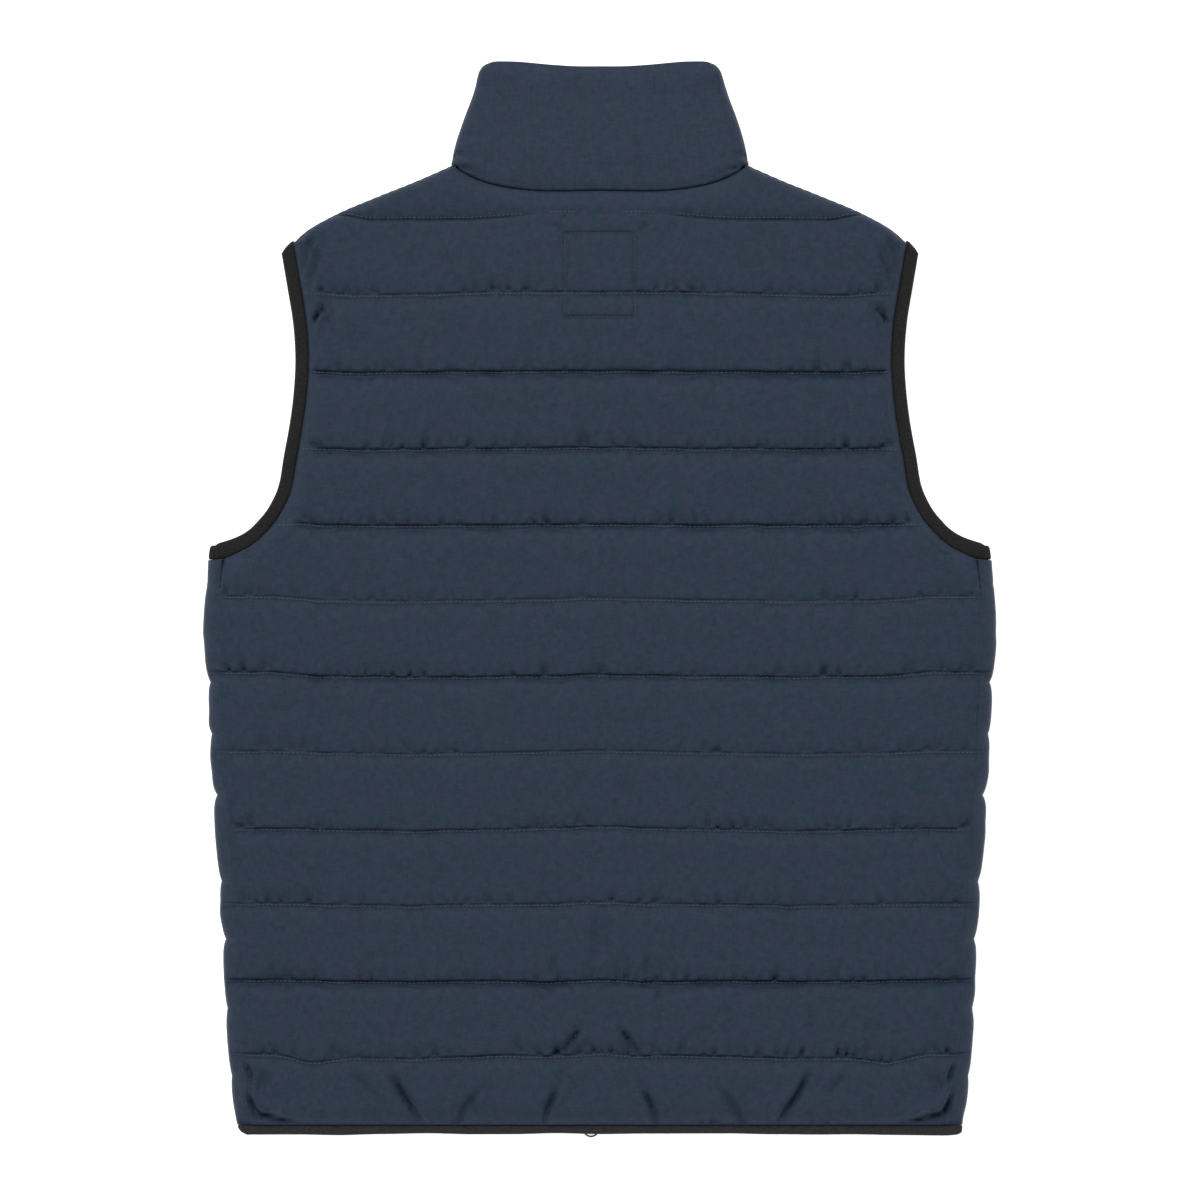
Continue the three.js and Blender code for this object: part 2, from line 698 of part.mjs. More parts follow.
const zip = new THREE.Group();
zip.position.x = ZIP_X;
zip.add(
  piece("zip_tape_left", zipTape(-1), zipTapeCloth()),
  piece("zip_tape_right", zipTape(1), zipTapeCloth()),
  piece("zip_chain", zipChain(), zipTeeth()),
  piece("slider_lower", slider(), darkMetal(), 0, lowerPivotY),
  piece("slider_upper", slider(), darkMetal(), 0, upperPivotY),
  piece("pull_lower", wireLoop(), darkMetal(), 0, lowerPivotY, BAIL.eyeZ),
  piece("pull_upper", wireLoop(), darkMetal(), 0, upperPivotY, BAIL.eyeZ),
);

const vest = new THREE.Group();
vest.add(
  piece("back_panel", backPanel(), shellCloth()),
  piece("front_left", frontPanel(-1), shellCloth()),
  piece("front_right", frontPanel(1), shellCloth()),
  piece("collar", collar(), shellCloth()),
  piece("armhole_binding_left", armholeBinding(-1), bindingKnit()),
  piece("armhole_binding_right", armholeBinding(1), bindingKnit()),
  piece("hem_binding", hemBinding(), bindingKnit()),
  zip,
);

export default vest;
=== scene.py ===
# %% [markdown]
# This lesson dresses a padded vest that lies flat on its front, back up.
# The imported CAD model gives every place and size, so it is loaded first and never moved.
# Cloth may stand only a little proud of it at the end.

# %% Load the frame
import math

import bpy
import numpy as np
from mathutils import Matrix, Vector
from mathutils.bvhtree import BVHTree
from mathutils.kdtree import KDTree


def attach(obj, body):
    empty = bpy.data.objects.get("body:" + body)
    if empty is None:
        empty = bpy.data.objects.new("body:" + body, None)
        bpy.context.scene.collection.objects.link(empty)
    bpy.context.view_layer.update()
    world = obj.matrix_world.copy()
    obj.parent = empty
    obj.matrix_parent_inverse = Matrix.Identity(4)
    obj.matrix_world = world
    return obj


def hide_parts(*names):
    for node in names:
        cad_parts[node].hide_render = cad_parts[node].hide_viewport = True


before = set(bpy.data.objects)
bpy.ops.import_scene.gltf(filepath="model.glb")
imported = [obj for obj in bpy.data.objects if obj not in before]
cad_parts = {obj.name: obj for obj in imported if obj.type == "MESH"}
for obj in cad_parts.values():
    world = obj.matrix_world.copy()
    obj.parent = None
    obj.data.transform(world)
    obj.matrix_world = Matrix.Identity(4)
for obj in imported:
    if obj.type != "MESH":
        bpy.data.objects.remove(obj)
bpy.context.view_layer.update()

# %% [markdown]
# The photograph looks straight down on the vest from far away, so nothing is foreshortened.
# A long lens high above the floor does the same, and its width is worked out from the vest's scale.
# The picture is 1200 pixels wide at 0.7 mm each, which is 0.84 m at the height of the cloth.

# %% Camera straight above
CAMERA_HEIGHT = 4.0
CLOTH_HEIGHT = 0.013
PICTURE_WIDTH = 0.84
SENSOR = 36.0

camera_data = bpy.data.cameras.new("camera")
camera_data.sensor_width = SENSOR
camera_data.lens = SENSOR * (CAMERA_HEIGHT - CLOTH_HEIGHT) / PICTURE_WIDTH
camera = bpy.data.objects.new("camera", camera_data)
camera.location = (0.0, 0.0, CAMERA_HEIGHT)
bpy.context.scene.collection.objects.link(camera)
bpy.context.scene.camera = camera
bpy.context.scene.view_settings.view_transform = "Standard"
print("lens in mm:", round(camera_data.lens, 1))

# %% [markdown]
# Studio light for cloth is broad and soft, and here it comes mostly from beyond the collar.
# That leaves a thin shade above each quilt line, on the lower flank of the channel, as in the photograph.
# One large area light makes the direction, and an even pale sky fills the rest.

# %% Floor and lights
KEY_PLACE = (-1.0, 3.5, 4.5)
KEY_SIZE = 2.4
KEY_POWER = 139.0
SKY_STRENGTH = 0.80
FLOOR_SIZE = 8.0
FLOOR_DROP = 0.0003

floor_half = FLOOR_SIZE / 2
floor_mesh = bpy.data.meshes.new("floor")
floor_mesh.from_pydata(
    [
        (-floor_half, -floor_half, -FLOOR_DROP),
        (floor_half, -floor_half, -FLOOR_DROP),
        (floor_half, floor_half, -FLOOR_DROP),
        (-floor_half, floor_half, -FLOOR_DROP),
    ],
    [],
    [(0, 1, 2, 3)],
)
floor = bpy.data.objects.new("floor", floor_mesh)
bpy.context.scene.collection.objects.link(floor)

key_data = bpy.data.lights.new("key", "AREA")
key_data.size = KEY_SIZE
key_data.energy = KEY_POWER
key = bpy.data.objects.new("key", key_data)
key.location = KEY_PLACE
key.rotation_euler = (-Vector(KEY_PLACE)).to_track_quat("-Z", "Y").to_euler()
bpy.context.scene.collection.objects.link(key)

sky = bpy.data.worlds.new("sky")
sky.use_nodes = True
sky.node_tree.nodes["Background"].inputs["Color"].default_value = (1.0, 1.0, 1.0, 1.0)
sky.node_tree.nodes["Background"].inputs["Strength"].default_value = SKY_STRENGTH
bpy.context.scene.world = sky
print("key light in watts:", KEY_POWER)

# %% [markdown]
# Every finish is made of nodes, so that it has grain at its real size from any distance.
# The texture coordinates are the object's own, which are metres here, so a thread is 0.3 mm in any piece.
# This helper makes a material with one Principled shader, and the others are built on it.

# %% A bare material to build on
def new_finish(name, rough):
    """A material with a Principled shader: (material, its tree, the shader, its coordinates)."""
    finish = bpy.data.materials.new(name)
    finish.use_nodes = True
    tree = finish.node_tree
    shader = tree.nodes["Principled BSDF"]
    shader.inputs["Roughness"].default_value = rough
    coordinates = tree.nodes.new("ShaderNodeTexCoord")
    return finish, tree, shader, coordinates.outputs["Object"]


def node(tree, kind, inputs=None, **settings):
    """A new node with its settings, and its sockets set to numbers or linked to outputs."""
    made = tree.nodes.new(kind)
    for setting, value in settings.items():
        setattr(made, setting, value)
    for socket, value in (inputs or {}).items():
        if isinstance(value, bpy.types.NodeSocket):
            tree.links.new(value, made.inputs[socket])
        else:
            made.inputs[socket].default_value = value
    return made


print("nodes of a bare material:", len(new_finish("trial", 0.5)[1].nodes))
bpy.data.materials.remove(bpy.data.materials["trial"])

# %% Helpers for grain, weave and mottling
def grain(tree, where, size, detail=3.0):
    """Noise whose blobs are about that size in metres."""
    return node(
        tree, "ShaderNodeTexNoise", {"Vector": where, "Scale": 1.0 / size, "Detail": detail}
    ).outputs["Fac"]


def stretched_grain(tree, where, sizes):
    """Noise whose blobs have their own size in metres along each axis."""
    scale = tuple(1.0 / size for size in sizes)
    scaled = node(
        tree, "ShaderNodeVectorMath", {0: where, 1: scale}, operation="MULTIPLY"
    ).outputs["Vector"]
    return node(
        tree, "ShaderNodeTexNoise", {"Vector": scaled, "Scale": 1.0, "Detail": 2.0}
    ).outputs["Fac"]


def threads(tree, where, axis, pitch):
    """Waves across one axis, one for each thread of that pitch in metres."""
    waves_per_scale = 20.0 / (2.0 * math.pi)
    return node(
        tree,
        "ShaderNodeTexWave",
        {"Vector": where, "Scale": 1.0 / (pitch * waves_per_scale), "Distortion": 0.0},
        wave_type="BANDS",
        bands_direction=axis,
        wave_profile="SIN",
    ).outputs["Fac"]


def between(tree, share, dark, light):
    """A colour from dark to light as share goes from 0 to 1."""
    mixed = node(
        tree,
        "ShaderNodeMix",
        {"Factor": share},
        data_type="RGBA",
    )
    mixed.inputs[6].default_value = (*dark, 1.0)
    mixed.inputs[7].default_value = (*light, 1.0)
    return mixed.outputs[2]


def ramp(tree, share, low, high):
    """Share stretched so that low becomes 0 and high becomes 1."""
    return node(
        tree,
        "ShaderNodeMapRange",
        {"Value": share, "From Min": low, "From Max": high, "To Min": 0.0, "To Max": 1.0},
    ).outputs["Result"]


def relief(tree, height, depth, below=None):
    """A bump of that depth in metres, on top of another bump."""
    inputs = {"Height": height, "Distance": depth, "Strength": 1.0}
    if below is not None:
        inputs["Normal"] = below
    return node(tree, "ShaderNodeBump", inputs).outputs["Normal"]


def product(tree, first, second):
    """Two values multiplied."""
    return node(tree, "ShaderNodeMath", {0: first, 1: second}, operation="MULTIPLY").outputs[0]


print("helpers for finishes are ready")

# %% [markdown]
# The shell of the vest is a fine plain-woven nylon, matt and dark navy, with a faint sheen.
# A weave could be a picture, but two crossed sets of waves give threads that stay sharp close up.
# Slow noise makes the colour uneven by a few percent, because padding shows through such thin cloth.

# %% Navy shell cloth
SHELL_TEAL = ((0.0119, 0.0244, 0.0423), (0.0210, 0.0362, 0.0584))
SHELL_PLUM = ((0.0147, 0.0238, 0.0443), (0.0248, 0.0351, 0.0606))
THREAD_PITCH = 0.00036

shell, tree, shader, where = new_finish("shell_nylon", 0.6)
blotches = grain(tree, where, 0.0045, 6.0)
slubs_across = stretched_grain(tree, where, (0.0009, 0.006, 0.006))
slubs_along = stretched_grain(tree, where, (0.006, 0.0009, 0.006))
slubs = node(tree, "ShaderNodeMath", {0: slubs_across, 1: slubs_along}, operation="ADD").outputs[0]
tone = node(tree, "ShaderNodeMath", {0: slubs, 1: blotches}, operation="ADD").outputs[0]
tone = ramp(tree, tone, 1.14, 1.86)
tint = ramp(tree, grain(tree, where, 0.009, 3.0), 0.4, 0.6)
dyes = node(tree, "ShaderNodeMix", {"Factor": tint}, data_type="RGBA")
tree.links.new(between(tree, tone, *SHELL_TEAL), dyes.inputs[6])
tree.links.new(between(tree, tone, *SHELL_PLUM), dyes.inputs[7])
tree.links.new(dyes.outputs[2], shader.inputs["Base Color"])
across = threads(tree, where, "X", THREAD_PITCH)
along = threads(tree, where, "Y", THREAD_PITCH)
weave = relief(tree, product(tree, across, along), 0.00005)
crinkle = relief(tree, grain(tree, where, 0.004, 4.0), 0.00028, weave)
tree.links.new(crinkle, shader.inputs["Normal"])
shader.inputs["Sheen Weight"].default_value = 0.05
shader.inputs["Sheen Roughness"].default_value = 0.45
shader.inputs["Sheen Tint"].default_value = (0.55, 0.68, 0.9, 1.0)
shader.inputs["Specular IOR Level"].default_value = 0.16
print("shell threads per centimetre:", round(0.01 / THREAD_PITCH))

# %% [markdown]
# Armholes and hem are bound in a flat knitted tape, near black and warmer than the shell.
# Knitting shows as fine loops in the tape, so the loops are Voronoi cells with soft noise over them, not
# waves.
# Waves would need to follow the curve of the armhole, and cells read as knit from any side.

# %% Near-black knitted tape
ARMHOLE_KNIT = ((0.0110, 0.0100, 0.0103), (0.0215, 0.0200, 0.0202))
HEM_KNIT = ((0.0185, 0.0176, 0.0188), (0.0335, 0.0322, 0.0345))
LOOP_SIZE = 0.0009


def knitted(name, dark, light):
    """A matt knitted finish between two colours."""
    finish, tree, shader, where = new_finish(name, 0.85)
    loops = node(
        tree, "ShaderNodeTexVoronoi", {"Vector": where, "Scale": 1.0 / LOOP_SIZE}
    ).outputs["Distance"]
    fluff = ramp(tree, grain(tree, where, 0.0016, 5.0), 0.3, 0.7)
    tree.links.new(between(tree, fluff, light, dark), shader.inputs["Base Color"])
    tree.links.new(
        relief(tree, fluff, 0.00018, relief(tree, loops, 0.00022)), shader.inputs["Normal"]
    )
    shader.inputs["Sheen Weight"].default_value = 0.04
    shader.inputs["Sheen Roughness"].default_value = 0.6
    shader.inputs["Specular IOR Level"].default_value = 0.08
    return finish


knit = knitted("armhole_tape", *ARMHOLE_KNIT)
hem_knit = knitted("hem_tape", *HEM_KNIT)
print("knit loops per centimetre:", round(0.01 / LOOP_SIZE))

# %% [markdown]
# The sewing thread is polyester, a shade lighter than the cloth, with a twist that catches light.
# The zip has woven tape, black moulded teeth and gunmetal sliders, each with a grain of its own.

# %% Thread, zip tape, teeth and metal
thread_finish, tree, shader, where = new_finish("quilting_thread", 0.5)
twist = ramp(tree, grain(tree, where, 0.0007, 3.0), 0.3, 0.7)
tree.links.new(
    between(tree, twist, (0.034, 0.046, 0.066), (0.058, 0.074, 0.100)), shader.inputs["Base Color"]
)
tree.links.new(relief(tree, twist, 0.0001), shader.inputs["Normal"])

tape_finish, tree, shader, where = new_finish("zip_tape", 0.9)
ribs = product(tree, threads(tree, where, "X", 0.0007), threads(tree, where, "Y", 0.0005))
tree.links.new(
    between(tree, ribs, (0.010, 0.012, 0.016), (0.026, 0.030, 0.038)), shader.inputs["Base Color"]
)
tree.links.new(relief(tree, ribs, 0.00015), shader.inputs["Normal"])

# This near-black is the teeth's own colour, and it also paints the shade inside the needle holes.
teeth_and_hole_shade_finish, tree, shader, where = new_finish("moulded_teeth_and_hole_shade", 0.42)
pores = ramp(tree, grain(tree, where, 0.0008, 4.0), 0.35, 0.65)
tree.links.new(
    between(tree, pores, (0.008, 0.009, 0.011), (0.017, 0.018, 0.020)), shader.inputs["Base Color"]
)
tree.links.new(relief(tree, pores, 0.00004), shader.inputs["Normal"])

metal_finish, tree, shader, where = new_finish("gunmetal", 0.34)
scuffs = ramp(tree, grain(tree, where, 0.0012, 6.0), 0.3, 0.7)
tree.links.new(
    between(tree, scuffs, (0.055, 0.056, 0.060), (0.115, 0.116, 0.122)), shader.inputs["Base Color"]
)
tree.links.new(ramp(tree, scuffs, -1.2, 2.0), shader.inputs["Roughness"])
tree.links.new(relief(tree, scuffs, 0.00003), shader.inputs["Normal"])
shader.inputs["Metallic"].default_value = 0.9

floor_finish, tree, shader, where = new_finish("pale_floor", 0.9)
dust = ramp(tree, grain(tree, where, 0.4, 2.0), 0.2, 0.8)
tree.links.new(
    between(tree, dust, (0.93, 0.93, 0.93), (0.95, 0.95, 0.95)), shader.inputs["Base Color"]
)
shader.inputs["Specular IOR Level"].default_value = 0.0
shader.inputs["Emission Color"].default_value = (1.0, 1.0, 1.0, 1.0)
shader.inputs["Emission Strength"].default_value = 0.6
floor_mesh.materials.append(floor_finish)
print("finishes:", [m.name for m in bpy.data.materials if m.use_nodes][:12])

# %% [markdown]
# The outline of the vest is a set of curves through a few measured places, in millimetres.
# The same curves shape the CAD solids, so each piece of cloth ends where its solid ends.
# A curve that passes through its points keeps the corners where seams meet.

# %% A smooth curve through measured places
MM = 0.001


def follow(points):
    """A function that gives the value of a smooth curve through (place, value) points."""
    places, values = (np.array(column, float) for column in zip(*sorted(points)))
    slopes = np.gradient(values, places)

    def value_at(place):
        inside = np.clip(place, places[0], places[-1])
        i = np.clip(np.searchsorted(places, inside, side="right") - 1, 0, len(places) - 2)
        span = places[i + 1] - places[i]
        s = (inside - places[i]) / span
        start = (2 * s**3 - 3 * s**2 + 1) * values[i] + (s**3 - 2 * s**2 + s) * span * slopes[i]
        end = (3 * s**2 - 2 * s**3) * values[i + 1] + (s**3 - s**2) * span * slopes[i + 1]
        return start + end

    return value_at


def smooth(value, low, high):
    """0 below low, 1 above high, and a soft step between them."""
    s = np.clip((value - low) / (high - low), 0.0, 1.0)
    return s * s * (3.0 - 2.0 * s)


def mix(start, end, share):
    """The value that share of the way from start to end."""
    return start + (end - start) * share


print("middle of a curve:", round(float(follow([(0, 0), (5, 2), (10, 0)])(5.0)), 2))

# %% The outline of back and fronts
side_x = follow(
    [
        (-374, 252.6),
        (-345, 257.8),
        (-308, 261),
        (-258, 263.6),
        (-207, 266.6),
        (-160, 270),
        (-106, 273.2),
        (-60, 275.5),
        (-20, 277.9),
        (28, 274.6),
    ]
)
armhole_x = follow(
    [
        (28, 264.3),
        (35, 249.2),
        (51.8, 229.6),
        (68.6, 219.1),
        (102, 211.4),
        (136, 205.8),
        (170, 203.7),
        (194, 205.2),
        (219.8, 209.3),
        (249.4, 214.4),
    ]
)
SHOULDER = [
    (103.6, 303.6),
    (128.8, 292.6),
    (156.8, 281.4),
    (186, 268.8),
    (203, 259.3),
    (214.4, 249.4),
]
shoulder_y = follow(SHOULDER)
shoulder_x = follow([(y, x) for x, y in SHOULDER])
back_neck_y = follow(
    [(0, 285.9), (28, 285.4), (42, 285.6), (63, 287.7), (79.1, 291.2), (91, 295.8), (103.6, 303.6)]
)
front_armhole_x = follow(
    [
        (28, 264.3),
        (33, 248),
        (48, 225),
        (66, 212.5),
        (100, 202),
        (136, 196.5),
        (170, 194.5),
        (200, 197),
        (225, 204),
        (249.4, 214.4),
    ]
)
HEM_Y = -367.2
UNDERARM_Y = 28.0
SHOULDER_TIP_Y = 249.4
YOKE_Y = 268.8
YOKE_END_X = 186.0
NECK_X = 103.6
NECK_Y = 303.6
FRONT_NECK_DROP = 76.6
SIDE_WRAP = 10.3


def seam_x(y):
    """Where the back ends and the rolled front begins, at the side."""
    return side_x(y) - SIDE_WRAP


def back_edge_x(y):
    """The back's edge: side seam, then armhole, then shoulder."""
    lower = np.where(y <= UNDERARM_Y, seam_x(y), armhole_x(y))
    return np.where(y <= SHOULDER_TIP_Y, lower, shoulder_x(y))


def back_top_y(x):
    """The back's top edge: neck seam in the middle, shoulders beside it."""
    return np.where(np.abs(x) < NECK_X, back_neck_y(np.abs(x)), shoulder_y(np.abs(x)))


print("back's width at the hem in mm:", round(float(2 * back_edge_x(HEM_Y)), 1))

# %% [markdown]
# Cloth is never even: padding bunches, and each row of stitches gathers it into small folds.
# Blender's noise textures could push the surface about, but they know nothing of the seams.
# So a seeded noise makes the slow unevenness, and the gathers are placed along the seams themselves.

# %% Seeded soft noise over the cloth
NOISE_CELLS = 256
NOISE_SHIFT = (97.0, 61.0)


def soft_noise(x, y, size, seed):
    """Smooth noise from -1 to 1 over points in mm, with hills of about that size."""
    heights = np.random.default_rng(seed).uniform(-1.0, 1.0, (NOISE_CELLS, NOISE_CELLS))
    u = x / size + NOISE_SHIFT[0]
    v = y / size + NOISE_SHIFT[1]
    column, row = np.floor(u).astype(int), np.floor(v).astype(int)
    s, t = u - column, v - row
    s, t = s * s * (3 - 2 * s), t * t * (3 - 2 * t)

    def pick(i, j):
        return heights[(row + j) % NOISE_CELLS, (column + i) % NOISE_CELLS]

    low = mix(pick(0, 0), pick(1, 0), s)
    high = mix(pick(0, 1), pick(1, 1), s)
    return mix(low, high, t)


places = np.linspace(-270, 270, 200)
print("spread of the noise:", round(float(soft_noise(places, places, 30, 3).std()), 3))

# %% Gathers: short folds that run out from a seam
def gathers(x, y, origins, aways, rng, pitch, reach, width, depth):
    """The drop in mm that short folds make, which start along a seam and run away from it.

    origins and aways are the seam's points and its unit directions into the cloth, one a mm or so.
    """
    drop = np.zeros_like(x)
    steps = np.linalg.norm(np.diff(origins, axis=0), axis=1)
    run = np.concatenate([[0.0], np.cumsum(steps)])
    place = rng.uniform(0.3, 1.0) * pitch
    while place < run[-1]:
        k = int(np.searchsorted(run, place))
        slant = rng.normal(0.0, 0.7)
        way = aways[k] + slant * np.array([-aways[k][1], aways[k][0]])
        way = way / np.linalg.norm(way)
        far = reach * rng.uniform(0.45, 1.5)
        wide = width * rng.uniform(0.7, 1.4)
        bunched = 0.75 + 0.8 * float(soft_noise(np.array([run[k]]), origins[k][1:], 31.0, 91)[0])
        deep = depth * (0.3 + 0.95 * rng.uniform() ** 1.5) * min(max(bunched, 0.25), 1.3)
        near = (np.abs(x - origins[k][0]) < 3 * far) & (np.abs(y - origins[k][1]) < 3 * far)
        dx, dy = x[near] - origins[k][0], y[near] - origins[k][1]
        out = (dx * way[0] + dy * way[1]) / far
        aside = (dx * -way[1] + dy * way[0]) / (wide * (1.0 + 0.7 * np.clip(out, 0, 2)))
        rise = np.clip(out, 0.0, None) * 3.2
        drop[near] += deep * np.exp(-(aside**2)) * np.minimum(rise, 1.0) * np.exp(-(out**2))
        place += pitch * rng.uniform(0.45, 1.65)
    return drop


print("gathers are laid along a seam with about one a pitch")

# %% A soft crease along a hand-placed path
def crease(x, y, path, width, depth, ridge=0.4):
    """The height in mm of one crease: a trough along the path with a soft ridge on its left."""
    path = np.array(path, float)
    lift = np.zeros_like(x)
    margin = 4.0 * width
    near = (
        (x > path[:, 0].min() - margin)
        & (x < path[:, 0].max() + margin)
        & (y > path[:, 1].min() - margin)
        & (y < path[:, 1].max() + margin)
    )
    if not near.any():
        return lift
    px, py = x[near], y[near]
    lengths = np.linalg.norm(np.diff(path, axis=0), axis=1)
    whole = lengths.sum()
    best = np.full(px.shape, np.inf)
    aside = np.zeros_like(px)
    along = np.zeros_like(px)
    run = 0.0
    for start, end, length in zip(path[:-1], path[1:], lengths):
        way = (end - start) / length
        s = np.clip((px - start[0]) * way[0] + (py - start[1]) * way[1], 0.0, length)
        gap_x, gap_y = px - start[0] - s * way[0], py - start[1] - s * way[1]
        gap = np.hypot(gap_x, gap_y)
        closer = gap < best
        best = np.where(closer, gap, best)
        side = np.sign(way[0] * gap_y - way[1] * gap_x)
        aside = np.where(closer, side * gap, aside)
        along = np.where(closer, (run + s) / whole, along)
        run += length
    fade = smooth(along, 0.0, 0.3) * (1.0 - smooth(along, 0.7, 1.0))
    fade = np.maximum(fade, 0.25 * np.exp(-((best / width) ** 2)))
    trough = -depth * np.exp(-((aside / width) ** 2))
    hump = ridge * depth * np.exp(-(((aside - 1.9 * width) / (1.5 * width)) ** 2))
    lift[near] = fade * (trough + hump)
    return lift


print("crease helper is ready")

# %% [markdown]
# A quilted panel is one cloth, sewn through along lines and padded between them.
# It could be simulated, but its lines, creases and outline are known, so it is laid out as a grid.
# The rows of the grid crowd at each quilt line, so the groove stays crisp, and end on the outline.

# %% Build a closed mesh from rows of points
def object_from(name, points, faces, finish, sharp=60.0):
    """A smooth-shaded object from points in mm, with its faces turned outward."""
    points = np.asarray(points, float)
    _, first, welded = np.unique(
        np.round(points, 4), axis=0, return_index=True, return_inverse=True
    )
    welded = np.asarray(welded).ravel()
    kept = []
    for face in faces:
        ring = [int(welded[i]) for i in face]
        ring = [i for k, i in enumerate(ring) if i != ring[k - 1]]
        if len(ring) >= 3:
            kept.append(ring)
    corners = points[first] * MM
    volume = 0.0
    for ring in kept:
        a = corners[ring[0]]
        for k in range(1, len(ring) - 1):
            b, c = corners[ring[k]], corners[ring[k + 1]]
            volume += (
                a[0] * (b[1] * c[2] - b[2] * c[1])
                + a[1] * (b[2] * c[0] - b[0] * c[2])
                + a[2] * (b[0] * c[1] - b[1] * c[0])
            )
    if volume < 0:
        kept = [ring[::-1] for ring in kept]
    mesh = bpy.data.meshes.new(name)
    mesh.from_pydata([tuple(corner) for corner in corners], [], kept)
    mesh.update()
    mesh.shade_smooth()
    mesh.set_sharp_from_angle(angle=math.radians(sharp))
    mesh.materials.append(finish)
    made = bpy.data.objects.new(name, mesh)
    bpy.context.scene.collection.objects.link(made)
    return made


def small_parts(name, points, faces, finish):
    """An object of many small like parts, from points in mm."""
    mesh = bpy.data.meshes.new(name)
    mesh.from_pydata([tuple(np.array(point) * MM) for point in points], [], faces)
    mesh.update()
    mesh.materials.append(finish)
    made = bpy.data.objects.new(name, mesh)
    bpy.context.scene.collection.objects.link(made)
    return made


def grid_faces(rows, columns):
    """The quads of a grid whose points are numbered row by row."""
    i, j = np.meshgrid(np.arange(rows - 1), np.arange(columns - 1), indexing="ij")
    a = (i * columns + j).ravel()
    return np.stack([a, a + 1, a + columns + 1, a + columns], axis=1).tolist()


def closed_panel(outer, inside_z, top_follows):
    """A panel from rows of outer points over a plain inside at one height, capped all round."""
    rows, columns, _ = outer.shape
    points = [outer.reshape(-1, 3)]
    faces = grid_faces(rows, columns)
    made = rows * columns

    def plain(row):
        nonlocal made
        copy = row.copy()
        copy[:, 2] = inside_z
        points.append(copy)
        made += len(copy)
        return list(range(made - len(copy), made))

    left, right = plain(outer[:, 0]), plain(outer[:, -1])
    left_out = [r * columns for r in range(rows)]
    right_out = [r * columns + columns - 1 for r in range(rows)]
    for k in range(rows - 1):
        faces.append([left_out[k], left_out[k + 1], left[k + 1], left[k]])
        faces.append([right_out[k + 1], right_out[k], right[k], right[k + 1]])
    faces.append([*range(columns - 1, -1, -1), left[0], right[0]])
    top_out = list(range((rows - 1) * columns, rows * columns))
    if top_follows:
        top = plain(outer[-1])
        for k in range(columns - 1):
            faces.append([top_out[k], top_out[k + 1], top[k + 1], top[k]])
        faces.append([*left, *top, *reversed(right)])
    else:
        faces.append([*top_out, right[-1], left[-1]])
        faces.append([*left, *reversed(right)])
    return np.concatenate(points), faces


print("a grid of 3 by 4 points has", len(grid_faces(3, 4)), "quads")

# %% [markdown]
# The back has twelve quilt lines, 53 mm apart, and "drawn" says how hard each is pulled in.
# The cloth's thickness at the stitches is "wall", and "pull" says how strongly they gather it.
# A groove fades out where the cloth is slack, "stop" millimetres before the armhole.
# "bow" says how many mm a line runs above its "y" in the middle, at the flanks and at the sides.
# The highest one lifts a little in the middle of the yoke, and the lowest sags near both hips.
# Each line is a curve of its own, so stitches, shade and gathers all follow the same path.

# %% The back's quilt lines
BACK_INSIDE_Z = 13.0
SEAM_WALL = 2.4
BACK_WALL = 11.6
QUILT_LINES = [
    {"y": -318.5, "wall": 2.6, "drawn": 0.36, "pull": 1.1, "stop": 0.0, "bow": (0.0, -1.4, 2.0)},
    {"y": -266.0, "wall": 2.3, "drawn": 0.61, "pull": 1.1, "stop": 0.0, "bow": (0.6, 0.0, 1.2)},
    {"y": -212.1, "wall": 3.2, "drawn": 0.34, "pull": 0.8, "stop": 0.0, "bow": (1.5, -0.9, 0.6)},
    {"y": -159.6, "wall": 2.3, "drawn": 0.37, "pull": 1.1, "stop": 6.0, "bow": (2.1, -0.9, 0.4)},
    {"y": -105.7, "wall": 3.2, "drawn": 0.28, "pull": 0.7, "stop": 0.0, "bow": (1.3, -1.2, 0.8)},
    {"y": -52.5, "wall": 2.4, "drawn": 0.46, "pull": 1.1, "stop": 0.0, "bow": (1.3, -0.5, 2.8)},
    {"y": 0.7, "wall": 3.4, "drawn": 0.27, "pull": 0.7, "stop": 3.0, "bow": (1.5, -0.8, 2.4)},
    {"y": 53.2, "wall": 2.3, "drawn": 0.55, "pull": 1.1, "stop": 17.0, "bow": (0.5, 0.0, 0.9)},
    {"y": 106.4, "wall": 2.4, "drawn": 0.48, "pull": 1.0, "stop": 11.0, "bow": (0.8, 0.0, 0.0)},
    {"y": 160.3, "wall": 2.3, "drawn": 0.58, "pull": 1.0, "stop": 3.0, "bow": (0.3, 0.0, 0.0)},
    {"y": 215.6, "wall": 3.4, "drawn": 0.34, "pull": 0.9, "stop": 14.0, "bow": (-0.3, -1.5, 0.0)},
    {"y": 268.8, "wall": 3.6, "drawn": 0.40, "pull": 0.35, "stop": 3.0, "bow": (0.0, 0.0, 0.0)},
]


BOW_MIDDLE_WIDE = 52.0
BOW_FLANK_X = 145.0
BOW_FLANK_WIDE = 60.0
BOW_SIDE = (190.0, 236.0)
CALM_SIDE = (215.0, 250.0)
SAG_X = 201.0
SAG_WIDE = 16.0
SAG_DEEP = 4.2
YOKE_ENDS = (158.0, 182.0)
YOKE_MIDDLE = (30.0, 98.0)
YOKE_LIFT = 3.7


def line_bow(line, x):
    """How far a quilt line bows up from its nominal height at each x, in mm."""
    middle, flank, side = line["bow"]
    from_flank = np.abs(x) - BOW_FLANK_X
    bow = middle * np.exp(-((x / BOW_MIDDLE_WIDE) ** 2))
    bow = bow + flank * np.exp(-((from_flank / BOW_FLANK_WIDE) ** 2))
    return bow + side * smooth(np.abs(x), *BOW_SIDE)


